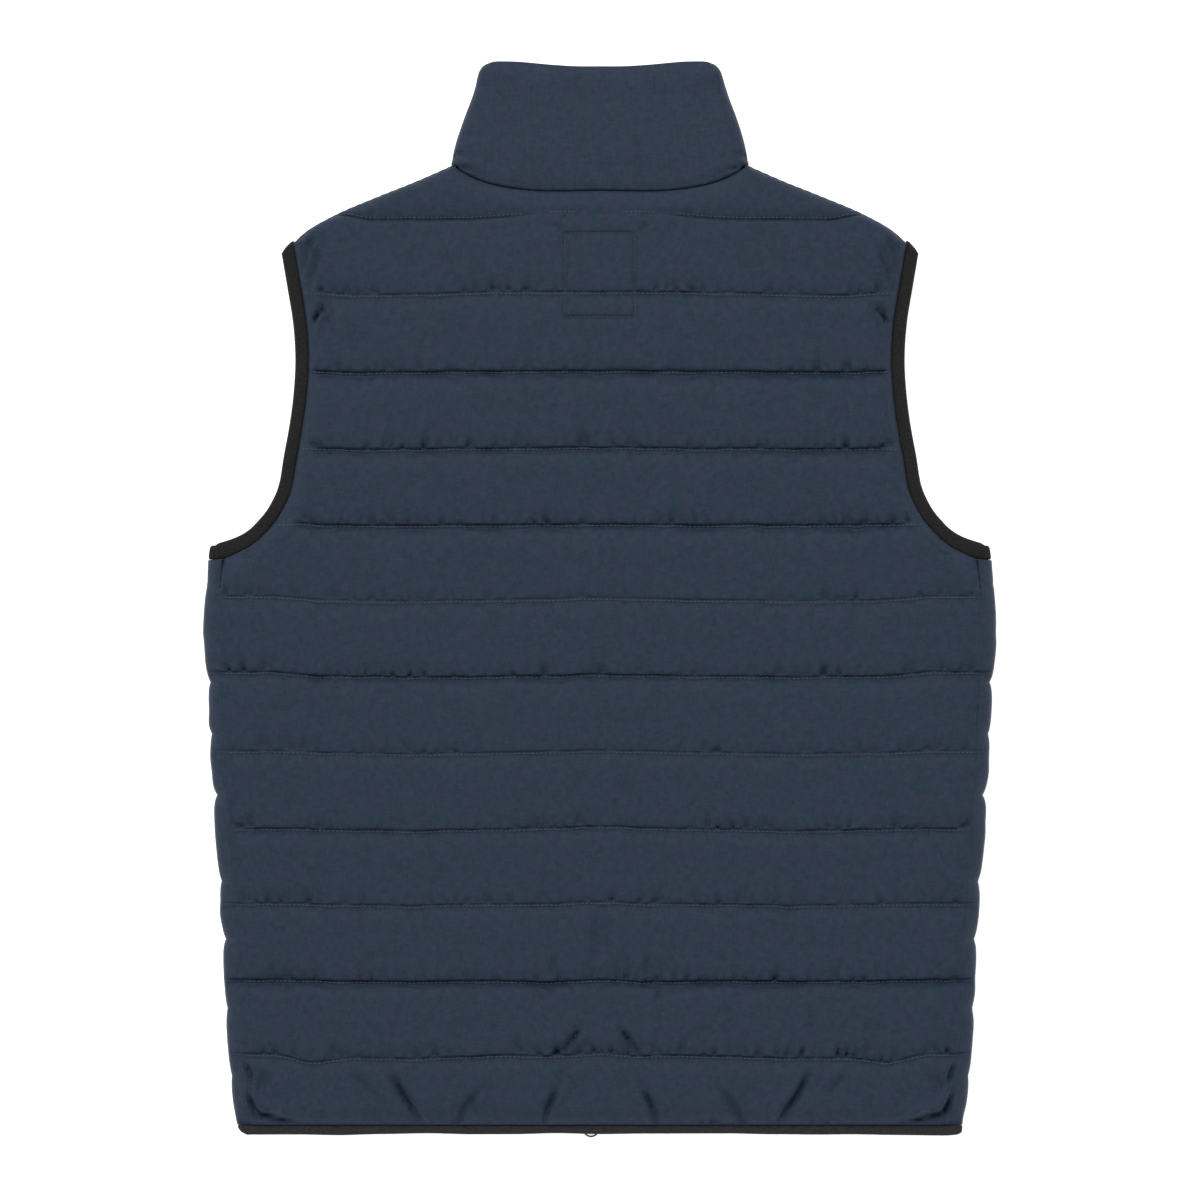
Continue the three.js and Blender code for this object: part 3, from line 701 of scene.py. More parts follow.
def line_y(index, x):
    """The height on the back of one quilt line, or of the hem for -1, at each x."""
    if index < 0:
        return np.full_like(x, HEM_Y)
    line = QUILT_LINES[index]
    calm = 1.0 - smooth(np.abs(x), *CALM_SIDE)
    wobble = 0.75 * soft_noise(np.abs(x), np.full_like(x, 7.0 * index), 34.0, 11)
    wobble += 0.35 * soft_noise(x, np.full_like(x, 5.0 * index), 13.0, 12)
    y = line["y"] + calm * (wobble + line_bow(line, x)) + (1.0 - calm) * line["bow"][2]
    if index == 0:
        sag = np.exp(-(((np.abs(x) - SAG_X) / SAG_WIDE) ** 2))
        y = y - SAG_DEEP * sag + 1.4 * (1.0 - smooth(np.abs(x), 20.0, 120.0))
    if index == len(QUILT_LINES) - 1:
        inside = 1.0 - smooth(np.abs(x), *YOKE_ENDS)
        lift = YOKE_LIFT * (1.0 - smooth(np.abs(x), *YOKE_MIDDLE))
        y = line["y"] + (wobble * 0.6 - 3.0) * inside + lift
    return y


print("yoke line at the middle, mm:", round(float(line_y(11, np.array([0.0]))[0]), 1))

# %% The back's grid of places
COLUMNS = 308
ABOVE_LINE = [0.0, 0.4, 0.9, 1.6, 2.6, 4.2]
BELOW_LINE = [7.2, 5.2, 4.0, 3.3, 2.7, 2.1, 1.5, 0.9, 0.45]
BETWEEN_LINES = 7
BETWEEN_LOWEST = 11
RECTANGLE_HALF = 24.5
RECTANGLE_LOW = 197.7
RECTANGLE_HIGH = 256.2
BESIDE_RECTANGLE = [-2.1, -1.2, -0.5, 0.2, 1.1, 2.2]
BESIDE_UNDERARM = [0.0, 0.7, 1.6, 3.0]
BESIDE_SHOULDER_TIP = [-0.8, 0.0]


def channel_shares(low, high, between):
    """The rows of a channel from low to high in mm, as shares from 0 to just below 1."""
    near = [low + above for above in ABOVE_LINE] + [high - below for below in BELOW_LINE]
    middle = np.linspace(low + ABOVE_LINE[-1], high - BELOW_LINE[0], between + 2)[1:-1]
    extra = [y + d for y in (RECTANGLE_LOW, RECTANGLE_HIGH) for d in BESIDE_RECTANGLE]
    extra += [UNDERARM_Y + d for d in BESIDE_UNDERARM]
    extra += [SHOULDER_TIP_Y + d for d in BESIDE_SHOULDER_TIP]
    rows = sorted({*near, *middle, *[y for y in extra if low + 5.0 < y < high - 8.0]})
    return (np.array(rows) - low) / (high - low)


YOKE_NOMINAL = 34.0

columns_u = np.linspace(-1, 1, COLUMNS + 1)
line_heights = [HEM_Y] + [line["y"] + line["bow"][2] for line in QUILT_LINES]
back_x, back_y, back_t, back_channel = [], [], [], []
for channel in range(len(QUILT_LINES)):
    between_lines = BETWEEN_LOWEST if channel < 2 else BETWEEN_LINES
    for t in channel_shares(line_heights[channel], line_heights[channel + 1], between_lines):
        nominal = mix(line_heights[channel], line_heights[channel + 1], t)
        x = columns_u * float(back_edge_x(nominal))
        back_x.append(x)
        back_y.append(mix(line_y(channel - 1, x), line_y(channel, x), t))
        back_t.append(np.full_like(x, t))
        back_channel.append(channel)
yoke_x = columns_u * YOKE_END_X
yoke_start = line_y(len(QUILT_LINES) - 1, yoke_x)
yoke_start[0] = yoke_start[-1] = YOKE_Y
for t in [*channel_shares(0.0, YOKE_NOMINAL, BETWEEN_LINES), 1.0]:
    back_x.append(yoke_x)
    back_y.append(mix(yoke_start, back_top_y(yoke_x), t))
    back_t.append(np.full_like(yoke_x, t))
    back_channel.append(len(QUILT_LINES))
back_x, back_y, back_t = np.array(back_x), np.array(back_y), np.array(back_t)
back_channel = np.array(back_channel)
print("back's grid:", back_x.shape)

# %% [markdown]
# Where a padded panel is sewn to a band or the collar, it rises at once beside the stitches.
# At a shoulder it rolls over softly, and at the side it rolls on round to the front without a dip.
# Each kind of edge has its own outline, and every point looks up its nearest point on each of them.

# %% How full the padding is near the edges
def distance_to(outline, x, y):
    """The distance in mm from each point to the nearest point of an outline."""
    tree = KDTree(len(outline))
    for k, (px, py) in enumerate(outline):
        tree.insert((px, py, 0.0), k)
    tree.balance()
    flat = [tree.find((px, py, 0.0))[2] for px, py in zip(x.ravel(), y.ravel())]
    return np.array(flat).reshape(x.shape)


def sewn_rise(distance, quick=1.3, slow=11.0):
    """Fullness beside a sewn edge: most of it at once, and the rest over some more millimetres."""
    return 0.66 * (1.0 - np.exp(-distance / quick)) + 0.34 * smooth(distance, 0.0, slow)


def puff(distance, reach=13.0):
    """Fullness beside an edge that rolls over, from 0 at the edge to 1 at that reach."""
    left = 1.0 - np.clip(distance / reach, 0.0, 1.0)
    return np.sqrt(1.0 - left * left)


CORNER_FILL = 0.6
CORNER_REACH = 5.0
NECK_FILL = 0.5
SHOULDER_REACH = 6.5

edge_levels = np.arange(HEM_Y, YOKE_Y, 1.0)
edge_right = np.stack([back_edge_x(edge_levels), edge_levels], axis=1)
armhole_edge = edge_right[(edge_levels >= UNDERARM_Y) & (edge_levels <= SHOULDER_TIP_Y)]
hem_places = np.arange(-255.0, 255.0, 1.0)
edge_hem = np.stack([hem_places, np.full_like(hem_places, HEM_Y)], axis=1)
neck_places = np.arange(-NECK_X, NECK_X, 1.0)
edge_neck = np.stack([neck_places, back_neck_y(np.abs(neck_places))], axis=1)
shoulder_places = np.arange(NECK_X, SHOULDER[-1][0], 1.0)
edge_shoulder = np.stack([shoulder_places, shoulder_y(shoulder_places)], axis=1)
both = np.array([[-1, 1], [1, 1]])
to_armhole = distance_to(np.concatenate([armhole_edge * both[0], armhole_edge]), back_x, back_y)
to_hem = distance_to(edge_hem, back_x, back_y)
to_neck = distance_to(edge_neck, back_x, back_y)
to_shoulder = distance_to(np.concatenate([edge_shoulder * both[0], edge_shoulder]), back_x, back_y)
to_sewn = np.minimum(np.minimum(to_armhole, to_hem), np.minimum(to_neck, to_shoulder))
corner = np.hypot(np.abs(back_x) - float(back_edge_x(UNDERARM_Y)), back_y - UNDERARM_Y)
at_armhole = np.maximum(sewn_rise(to_armhole), CORNER_FILL * np.exp(-((corner / CORNER_REACH) ** 2)))
back_edge = np.minimum(at_armhole, sewn_rise(to_hem, 1.6, 11.0))
back_edge = np.minimum(back_edge, NECK_FILL + (1.0 - NECK_FILL) * sewn_rise(to_neck, 1.3, 11.0))
back_edge = np.minimum(back_edge, puff(to_shoulder, SHOULDER_REACH))
print("fullness in the middle of the back:", round(float(back_edge[150, 130]), 2))

# %% The roll from back to front at the side
ROLL_TIP_Z = 11.5
ROLL_DEEP = 26.0
ROLL_HIGH = 13.0
SEAM_DIP = 1.8


def roll_z(inward):
    """The height in mm of the rolled side, that far in from the outline."""
    left = 1.0 - np.clip(inward / ROLL_DEEP, 0.0, 1.0)
    return ROLL_TIP_Z + ROLL_HIGH * np.sqrt(1.0 - left * left)


def seam_dip(inward, y):
    """The side seam only shows below the armhole, as a puckered groove of this depth in mm."""
    where = smooth(y, -10.0, 10.0) * (0.4 + 0.6 * np.sin(y * 0.9) * np.sin(y * 0.37))
    return SEAM_DIP * where * np.exp(-(((inward - SIDE_WRAP) / 1.7) ** 2))


print("height of the roll at the seam in mm:", round(float(roll_z(SIDE_WRAP)), 1))

# %% How full a channel is beside its quilt lines
RISE_ABOVE = 0.7
RISE_BELOW = 3.0
LEDGE_AT = 1.55
LEDGE_END = 3.1
YOKE_RISE_ABOVE = 4.0
YOKE_RISE_BELOW = 0.9


def channel_section(above, below, share, yoke_below=False, yoke_above=False):
    """Fullness at those distances above one line and below the next one, in mm."""
    upward = 1.0 - np.exp(-above / (YOKE_RISE_ABOVE if yoke_below else RISE_ABOVE))
    past_ledge = np.clip(below - LEDGE_END, 0.0, None) / RISE_BELOW
    downward = 1.0 - np.exp(-(past_ledge**1.2))
    if yoke_above:
        downward = 1.0 - np.exp(-below / YOKE_RISE_BELOW)
    return 0.88 * upward * downward + 0.12 * np.sin(np.pi * np.clip(share, 0.0, 1.0)) ** 0.8


def stitch_ledge(below):
    """The narrow ridge that the stitches lie on, just below the groove of a line."""
    return 2.3 * np.exp(-(((below - LEDGE_AT) / 0.7) ** 2))


def overhang(above):
    """How far the padding above a line leans out over its groove, in mm."""
    return 0.95 * (above / 1.1) * np.exp(1.0 - above / 1.1)


def rectangle_trough(x, y):
    """The depth in mm of the shallow groove that the stitched rectangle draws in."""
    middle = (RECTANGLE_LOW + RECTANGLE_HIGH) / 2
    over_x = np.abs(x) - RECTANGLE_HALF
    over_y = np.abs(y - middle) - (RECTANGLE_HIGH - middle)
    outside = np.hypot(np.clip(over_x, 0.0, None), np.clip(over_y, 0.0, None))
    gap = outside + np.abs(np.clip(np.maximum(over_x, over_y), None, 0.0))
    return 1.7 * np.exp(-((gap / 1.2) ** 2))


print("fullness 5 mm above a line:", round(float(channel_section(5.0, 48.0, 0.1)), 2))

# %% [markdown]
# Creases are the marks of how this vest was laid down, and each has its own place and size.
# A random pattern would not put them where the cloth is pulled, so they are placed one by one.
# Each is a soft trough with a ridge beside it, and the other half of the back gets its mirror image.

# %% The back's main creases
BACK_CREASES = [
    # Shoulder and armhole: short folds that run in from the binding.
    {"path": [(-199, 256), (-204, 246), (-208, 230)], "width": 2.6, "depth": 4.2},
    {"path": [(-193, 252), (-199, 236), (-204, 214)], "width": 2.6, "depth": 4.4},
    {"path": [(-187, 210), (-196, 200), (-203, 190)], "width": 1.6, "depth": 6.4},
    {"path": [(-195, 205), (-199, 197)], "width": 1.4, "depth": 2.3},
    {"path": [(-203, 111), (-196, 106)], "width": 1.9, "depth": 2.6},
    {"path": [(-207, 60), (-200, 53)], "width": 1.9, "depth": 2.6},
    # Side: folds below the armhole and at the hip.
    {"path": [(-265, -138), (-260, -145)], "width": 1.7, "depth": -2.3},
    {"path": [(-260, -153), (-250, -160)], "width": 1.9, "depth": 2.8},
    {"path": [(-255, -309), (-249, -316)], "width": 1.7, "depth": 2.8},
    # Above the lowest line.
    {"path": [(-189, -309), (-183, -319)], "width": 1.9, "depth": 2.8},
    {"path": [(-133, -312), (-128, -319)], "width": 1.7, "depth": 2.3},
    {"path": [(-60, -308), (-54, -317)], "width": 1.9, "depth": 3.1},
    {"path": [(-12, -298), (-21, -309), (-29, -319)], "width": 1.8, "depth": 6.0},
    # Below the lowest line: long folds that fan out to the hem.
    {"path": [(-230, -327), (-240, -347)], "width": 3.1, "depth": 2.8},
    {"path": [(-175, -327), (-160, -347)], "width": 2.9, "depth": 2.6},
    {"path": [(-148, -326), (-137, -346), (-119, -371)], "width": 2.0, "depth": 6.2},
    {"path": [(-82, -340), (-95, -356), (-104, -373)], "width": 2.1, "depth": 5.0},
    {"path": [(-28, -338), (-36, -354), (-42, -374)], "width": 2.0, "depth": 5.4},
    {"path": [(-20, -323), (-28, -337)], "width": 3.1, "depth": 2.0},
    # The fold round the corner of the hem.
    {
        "path": [(-254, -337), (-248, -342), (-244, -351), (-240, -358), (-229, -361), (-207, -366)],
        "width": 2.3,
        "depth": 8.6,
    },
    {"path": [(-252, -318), (-245, -329), (-243, -342)], "width": 2.0, "depth": 4.6},
    # Near the second line from the hem, and soft ones in the channels above.
    {"path": [(-30, -248), (-34, -258), (-39, -263)], "width": 1.9, "depth": 3.1},
    {"path": [(-46, -270), (-38, -281)], "width": 1.9, "depth": 2.6},
    {"path": [(2, -218), (2, -253)], "width": 4.2, "depth": 1.8},
    {"path": [(-3, -46), (1, -51)], "width": 1.5, "depth": 2.3},
    {"path": [(-11, -120), (-22, -142)], "width": 3.4, "depth": 1.5},
    # The two small folds at the top corners of the stitched rectangle.
    {"path": [(-34, 263), (-26, 258)], "width": 1.5, "depth": 2.6},
]


def crease_field(x, y, table, mirrored=True):
    """The height in mm of every crease of a table, with its mirror image on the other half."""
    lift = np.zeros_like(x)
    for fold in table:
        lift += crease(x, y, fold["path"], fold["width"], fold["depth"])
        if mirrored:
            lift += crease(-x, y, fold["path"], fold["width"], fold["depth"])
    return lift


back_folds = crease_field(back_x, back_y, BACK_CREASES)
print("creases placed:", len(BACK_CREASES), "deepest in mm:", round(float(back_folds.min()), 2))

# %% Gathers along the back's lines and edges
GATHERS_ABOVE = {"pitch": 6.0, "reach": 5.0, "width": 1.3, "depth": 4.6}
GATHERS_BELOW = {"pitch": 8.0, "reach": 5.5, "width": 1.4, "depth": 2.6}
GATHERS_BESIDE = {"pitch": 9.0, "reach": 9.0, "width": 1.7, "depth": 3.0}
GATHERS_AT_HEM = {"pitch": 6.5, "reach": 5.0, "width": 1.5, "depth": 5.6}

rng = np.random.default_rng(5)
back_gathers = np.zeros_like(back_x)
for index, line in enumerate(QUILT_LINES):
    reach_x = float(back_edge_x(line["y"])) - 3.0
    xs = np.arange(-reach_x, reach_x, 1.0)
    origins = np.stack([xs, line_y(index, xs)], axis=1)
    up = np.tile([0.0, 1.0], (len(xs), 1))
    back_gathers += line["pull"] * gathers(back_x, back_y, origins, up, rng, **GATHERS_ABOVE)
    back_gathers += line["pull"] * gathers(back_x, back_y, origins, -up, rng, **GATHERS_BELOW)
for side in (-1, 1):
    origins = edge_right * [side, 1]
    slopes = np.gradient(edge_right[:, 0], edge_right[:, 1])
    inward = np.stack([np.full(len(slopes), -side * 1.0), slopes], axis=1)
    inward /= np.linalg.norm(inward, axis=1, keepdims=True)
    back_gathers += gathers(back_x, back_y, origins, inward, rng, **GATHERS_BESIDE)
origins = edge_hem
up = np.tile([0.0, 1.0], (len(origins), 1))
back_gathers += gathers(back_x, back_y, origins, up, rng, **GATHERS_AT_HEM)
print("deepest gather in mm:", round(float(back_gathers.max()), 2))

# %% [markdown]
# The height of the back is the sum of these: fullness between the lines, edges, folds and gathers.
# A channel's section is nearly flat on top, because light padding fills a shallow tube evenly.
# It drops steeply into the groove above each line, and more slowly below the stitches.

# %% The groove left at each line, near the armholes and in the middle of the yoke
def groove_share(index, x):
    """How much of a line's groove is left at x, from 0 to 1."""
    line = QUILT_LINES[index]
    share = np.ones_like(x)
    if line["stop"] > 0:
        reach = float(back_edge_x(line["y"])) - np.abs(x)
        share = 0.1 + 0.9 * smooth(reach, line["stop"] - 5.0, line["stop"] + 5.0)
    if index == len(QUILT_LINES) - 1:
        share = share * (0.15 + 0.85 * smooth(np.abs(x), 30.0, 82.0))
    even = 1.0 - smooth(float(back_edge_x(line["y"])) - np.abs(x), 0.5, 7.0)
    return share * (1.0 + 0.22 * (1.0 - even) * soft_noise(x, np.full_like(x, 9.0 * index), 15.0, 35))


def channel_wall(full, above, below, share, low, high, **yoke):
    """The padding's thickness in a channel; low and high are (wall, pull) of its two lines."""
    fullness = channel_section(above, below, share, **yoke)
    sewn_low = mix(full, low[0], low[1])
    sewn_high = mix(full, high[0], high[1])
    wall = mix(mix(sewn_low, sewn_high, share), full, fullness)
    ledge = 0.0 if yoke.get("yoke_above") else high[1] * stitch_ledge(below)
    return wall + ledge, fullness


print("groove left at the end of a line:", round(float(groove_share(7, np.array([228.0]))[0]), 2))

# %% Thickness and lean of each row of the back
BACK_CROWN_NOISE = ((0.5, 46.0, 21), (0.3, 19.0, 22))


def back_row(row):
    """Places of one row of the back's grid: (y leaning over the groove, thickness in mm)."""
    x, t, channel = back_x[row], back_t[row], back_channel[row]
    top = channel == len(QUILT_LINES)
    lower = line_y(channel - 1, x)
    upper = back_top_y(x) if top else line_y(channel, x)
    span = np.maximum(upper - lower, 0.0)
    full = BACK_WALL + sum(a * soft_noise(x, back_y[row], size, k) for a, size, k in BACK_CROWN_NOISE)
    inward = np.clip(side_x(np.minimum(back_y[row], UNDERARM_Y)) - np.abs(x), 0.0, None)
    roll = roll_z(inward) - seam_dip(inward, back_y[row]) - BACK_INSIDE_Z
    soften = smooth(back_y[row], UNDERARM_Y, UNDERARM_Y + 26.0)
    full = np.minimum(full, mix(roll, full, soften))
    none = (full, np.zeros_like(x))
    low = none
    if channel > 0:
        line = QUILT_LINES[channel - 1]
        low = (line["wall"], line["drawn"] * groove_share(channel - 1, x))
    high = none
    if not top:
        line = QUILT_LINES[channel]
        high = (line["wall"], line["drawn"] * groove_share(channel, x))
    at_side = np.where(back_y[row] < UNDERARM_Y, smooth(inward - SIDE_WRAP, 0.0, 4.0), 1.0)
    swell_up = 1.0 + at_side * 0.45 * soft_noise(x, lower, 8.0, 31)
    swell_up += at_side * 0.3 * soft_noise(x, lower, 17.0, 32)
    swell_down = 1.0 + at_side * 0.45 * soft_noise(x, upper, 9.0, 33)
    above = t * span
    below = (1.0 - t) * span * np.clip(swell_down, 0.7, 1.5)
    wall, fullness = channel_wall(
        full,
        above * np.clip(swell_up, 0.4, 2.0),
        below,
        t,
        low,
        high,
        yoke_below=top,
        yoke_above=channel == len(QUILT_LINES) - 1,
    )
    lean = overhang(above) * low[1] * (0.0 if top else 1.0)
    detail = back_folds[row] - back_gathers[row] - rectangle_trough(x, back_y[row])
    detail = detail + 0.1 * soft_noise(x, back_y[row], 7.0, 23)
    loose = np.clip(to_sewn[row] / 1.5, 0.0, 1.0) * np.clip(fullness * 1.4, 0.0, 1.0)
    wall = mix(SEAM_WALL, wall + detail * loose * at_side, back_edge[row])
    return back_y[row] - lean * at_side, np.maximum(wall, 1.2)


leaning = [back_row(row) for row in range(len(back_channel))]
back_rows = np.stack(
    [back_x, np.array([y for y, _ in leaning]), BACK_INSIDE_Z + np.array([z for _, z in leaning])],
    axis=2,
)
back_rows[0, :, 1] = HEM_Y
print("back's highest point in mm:", round(float(back_rows[:, :, 2].max()), 2))

# %% The back as one closed cloth
points, faces = closed_panel(back_rows, BACK_INSIDE_Z, top_follows=True)
back_cloth = object_from("back_cloth", points, faces, shell, sharp=80.0)
print("faces of the back:", len(back_cloth.data.polygons))

# %% [markdown]
# The fronts lie under the back on the floor, and roll round the sides up to the side seam.
# Their channels are pressed flat where the vest rests, so the underside is a row of level pads.
# At each of their quilt lines the rolled side is drawn in, which makes the notches in the outline.

# %% The fronts' quilt lines and side notches
FRONT_INSIDE_Z = 12.4
MID_Z = 12.7
SEAM_GAP = 0.3
ZIP_X = -6.3
ZIP_EDGE = 5.5
WRAP_END_Y = 27.9
FRONT_LINES = [
    {"y": -333.2, "side": -333.0, "notch": 1.5},
    {"y": -284.0, "side": -285.6, "notch": 1.6},
    {"y": -234.8, "side": -237.3, "notch": 3.0},
    {"y": -185.6, "side": -196.7, "notch": 2.6},
    {"y": -136.4, "side": -136.5, "notch": 3.6},
    {"y": -87.2, "side": -93.8, "notch": 2.2},
    {"y": -38.0, "side": -57.5, "notch": 3.0},
    {"y": 11.2, "side": 11.2, "notch": 0.9},
    {"y": 60.4, "side": 60.4, "notch": 0.0},
    {"y": 109.6, "side": 109.6, "notch": 0.0},
    {"y": 158.8, "side": 158.8, "notch": 0.0},
    {"y": 208.0, "side": 208.0, "notch": 0.0},
    {"y": 257.2, "side": 257.2, "notch": 0.0},
]
FRONT_TOP_Y = 302.0
print("front lines:", len(FRONT_LINES))

# %% The fronts' grid
FRONT_ROWS_A_CHANNEL = 16
FRONT_COLUMNS = 56
CROWDING = 0.72
FOLD_TURNS = np.radians([-78, -66, -54, -42, -30, -18, -6])
ROLL_STEPS = (np.arange(14) / 13.0) ** 1.6
FOLD_IN = 15.0
NOTCH_REACH = 9.0


def crowded(count):
    """Shares from 0 to just below 1 that crowd towards both ends."""
    s = np.arange(count) / count
    return s - CROWDING * np.sin(2 * np.pi * s) / (2 * np.pi)


def front_edge_x(y):
    """The front's armhole edge, then its shoulder."""
    return np.where(y <= SHOULDER_TIP_Y, front_armhole_x(y), shoulder_x(y))


def front_start_x(y, side):
    """The front's zip edge, then its neckline."""
    zip_edge = side * ZIP_X + ZIP_EDGE
    down = np.clip((NECK_Y - y) / FRONT_NECK_DROP, 0.0, 1.0)
    neck = NECK_X * np.sqrt(1.0 - down * down)
    return np.where(y <= NECK_Y - FRONT_NECK_DROP, zip_edge, np.maximum(zip_edge, neck))


def front_levels():
    """The rows of a front: (height at the zip, at the side, share of its channel, on a line)."""
    ends = [(HEM_Y, HEM_Y)] + [(line["y"], line["side"]) for line in FRONT_LINES]
    ends.append((FRONT_TOP_Y, FRONT_TOP_Y))
    levels = []
    crossing = [
        line["y"] + line["bow"][2] + offset
        for line in QUILT_LINES
        for offset in [*ABOVE_LINE, *[-below for below in BELOW_LINE]]
        if line["y"] < UNDERARM_Y - 15.0
    ]
    for (low, low_side), (high, high_side) in zip(ends[:-1], ends[1:]):
        shares = [(t, t == 0.0 and low > HEM_Y) for t in crowded(FRONT_ROWS_A_CHANNEL)]
        shares += [((y - low_side) / (high_side - low_side), False) for y in crossing]
        for t, on_line in shares:
            if 0.0 <= t < 1.0:
                levels.append((mix(low, high, t), mix(low_side, high_side, t), t, on_line))
    levels.append((FRONT_TOP_Y, FRONT_TOP_Y, 0.0, False))
    levels.sort(key=lambda level: level[1])
    kept = levels[:1]
    for level in levels[1:]:
        if level[1] - kept[-1][1] > 0.25:
            kept.append(level)
        elif level[3]:
            kept[-1] = level
    nearest = min(range(len(kept)), key=lambda k: abs(kept[k][1] - WRAP_END_Y))
    kept[nearest] = (WRAP_END_Y, WRAP_END_Y, *kept[nearest][2:])
    return kept


def side_notch(y):
    """How far the outline is drawn in at a front's quilt lines, in mm."""
    return sum(
        line["notch"] * np.exp(-np.abs(y - line["side"]) / NOTCH_REACH * 1.6)
        for line in FRONT_LINES
    )


print("rows of a front:", len(front_levels()))

# %% Where the back's grooves run on over the rolled side
VISIBLE_GAP = 0.02
SIDE_PULLS = [
    line["drawn"] * float(groove_share(index, np.array([float(back_edge_x(line["y"]))]))[0])
    for index, line in enumerate(QUILT_LINES)
]


def wall_at_side(full, y):
    """The back's padding at the side seam, of that fullness in mm, at a height on the vest."""
    channel = min(max(sum(y > height for height in line_heights) - 1, 0), len(QUILT_LINES) - 1)
    span = line_heights[channel + 1] - line_heights[channel]
    share = min(max((y - line_heights[channel]) / span, 0.0), 1.0)
    pair = [
        (full, 0.0) if index < 0 else (QUILT_LINES[index]["wall"], SIDE_PULLS[index])
        for index in (channel - 1, channel)
    ]
    return float(channel_wall(full, share * span, (1.0 - share) * span, share, *pair)[0])


print("padding at a strong line at the side, mm:", round(wall_at_side(8.9, -52.5), 1))

# %% A front panel
FRONT_SEED = 40
PRESSED_FLAT = 0.93
HEM_SQUEEZE = 30.0


def front_outline(side):
    """Outline points of a front where its padding ends: zip edge, hem, neck and armhole."""
    levels = np.arange(HEM_Y, FRONT_TOP_Y, 1.0)
    starts = np.stack([front_start_x(levels, side), levels], axis=1)
    upper = levels[levels >= UNDERARM_Y]
    ends = np.stack([front_edge_x(upper), upper], axis=1)
    hems = np.arange(float(starts[0, 0]), float(seam_x(HEM_Y)), 1.0)
    hem = np.stack([hems, np.full_like(hems, HEM_Y)], axis=1)
    return np.concatenate([starts, ends, hem])


def rolled_side(side, side_y, end, flat_z, pillow):
    """One row of the rolled side, from the flat pad's end round the tip and up to the side seam."""
    at_top = float(puff(WRAP_END_Y - side_y + 1.5, 5.0))
    full = pillow * min(at_top, float(puff(side_y - HEM_Y, 6.0)))
    spot = np.array([side * 50.0]), np.array([side_y])
    uneven = 0.7 * float(soft_noise(*spot, 11.0, FRONT_SEED + side)[0]) * pillow
    tip = float(side_x(side_y)) - float(side_notch(side_y)) + uneven
    tip_z = mix(MID_Z, ROLL_TIP_Z, full)
    below = tip_z - flat_z
    fold = [
        (mix(end, tip, math.cos(turn)), side_y, tip_z + below * math.sin(turn))
        for turn in FOLD_TURNS
    ]
    last_x = float(seam_x(side_y)) + VISIBLE_GAP
    for step in ROLL_STEPS:
        x_here = mix(tip, last_x, step)
        own_inward = max(tip - x_here, 0.0)
        seam_inward = max(float(side_x(side_y)) - x_here, 0.0)
        inward = mix(own_inward, seam_inward, step)
        crown_z = float(roll_z(inward)) - float(seam_dip(seam_inward, side_y))
        crossed = BACK_INSIDE_Z + wall_at_side(crown_z - BACK_INSIDE_Z, side_y)
        top_z = mix(crown_z, crossed, smooth(inward, 0.4, 3.5))
        squeezed = 1.0 - 0.3 * (1.0 - pillow) * (1.0 - step)
        z_here = tip_z + (top_z - tip_z) * squeezed * min(inward / 0.8, 1.0)
        if side_y - HEM_Y < HEM_SQUEEZE:
            rise = float(sewn_rise(side_y - HEM_Y, 3.0, 14.0))
            z_here = mix(min(z_here, BACK_INSIDE_Z + SEAM_WALL), z_here, rise)
        fold.append((x_here, side_y, z_here))
    return fold


def front_panel(name, side):
    """One front: flat pads below, rolled round the side to the back's seam."""
    outline = front_outline(side)
    shares = (1 - np.cos(np.linspace(0, 1, FRONT_COLUMNS) * np.pi)) / 2
    shares = 0.5 * shares + 0.5 * np.linspace(0, 1, FRONT_COLUMNS)
    rows = []
    for zip_y, side_y, t, _ in front_levels():
        wrapped = side_y <= WRAP_END_Y
        end = float(side_x(side_y)) - FOLD_IN if wrapped else float(front_edge_x(side_y))
        start = float(front_start_x(np.array(zip_y), side))
        x = mix(start, end, shares)
        lean = smooth(shares, 0.35, 1.0)
        y = mix(zip_y, side_y, lean)
        pillow = np.sin(np.pi * t) ** 0.3
        edge = puff(distance_to(outline, x, y))
        crown = np.clip(pillow * edge, 0.0, 1.0)
        crown = np.where(crown > PRESSED_FLAT, 1.0, crown / PRESSED_FLAT)
        z = FRONT_INSIDE_Z - mix(SEAM_WALL, FRONT_INSIDE_Z, crown)
        z = z + 0.35 * (1 - crown) * soft_noise(side * x, y, 9.0, FRONT_SEED + side)
        flat = np.stack([x, y, np.maximum(z, 0.0)], axis=1)
        if wrapped:
            fold = rolled_side(side, side_y, end, flat[-1, 2], pillow)
        else:
            fold = [tuple(flat[-1])] * (len(FOLD_TURNS) + len(ROLL_STEPS))
        rows.append(np.concatenate([flat, np.array(fold)]))
    outer = np.array(rows)
    outer[:, :, 0] *= side
    points, faces = closed_panel(outer, FRONT_INSIDE_Z, top_follows=False)
    return object_from(name, points, faces, shell), outer


front_cloth_left, front_rows_left = front_panel("front_cloth_left", -1)
front_cloth_right, front_rows_right = front_panel("front_cloth_right", 1)
print("points of a front's grid:", front_rows_left.shape[:2])

# %% [markdown]
# Collar and bindings are long strips that pass from the back, round the vest's edge, to the front.
# Each is swept: a closed section is carried through stations, and turns over where the strip folds.
# The section is made of distances from the vest's middle plane, so both halves meet in that plane.

# %% Sweep a closed section through stations
COLLAR_DROP = 4.9


def mid_at(y):
    """The middle plane of the vest, which comes down towards the floor beyond the neck."""
    return MID_Z - COLLAR_DROP * smooth(y, 305.0, 365.0)


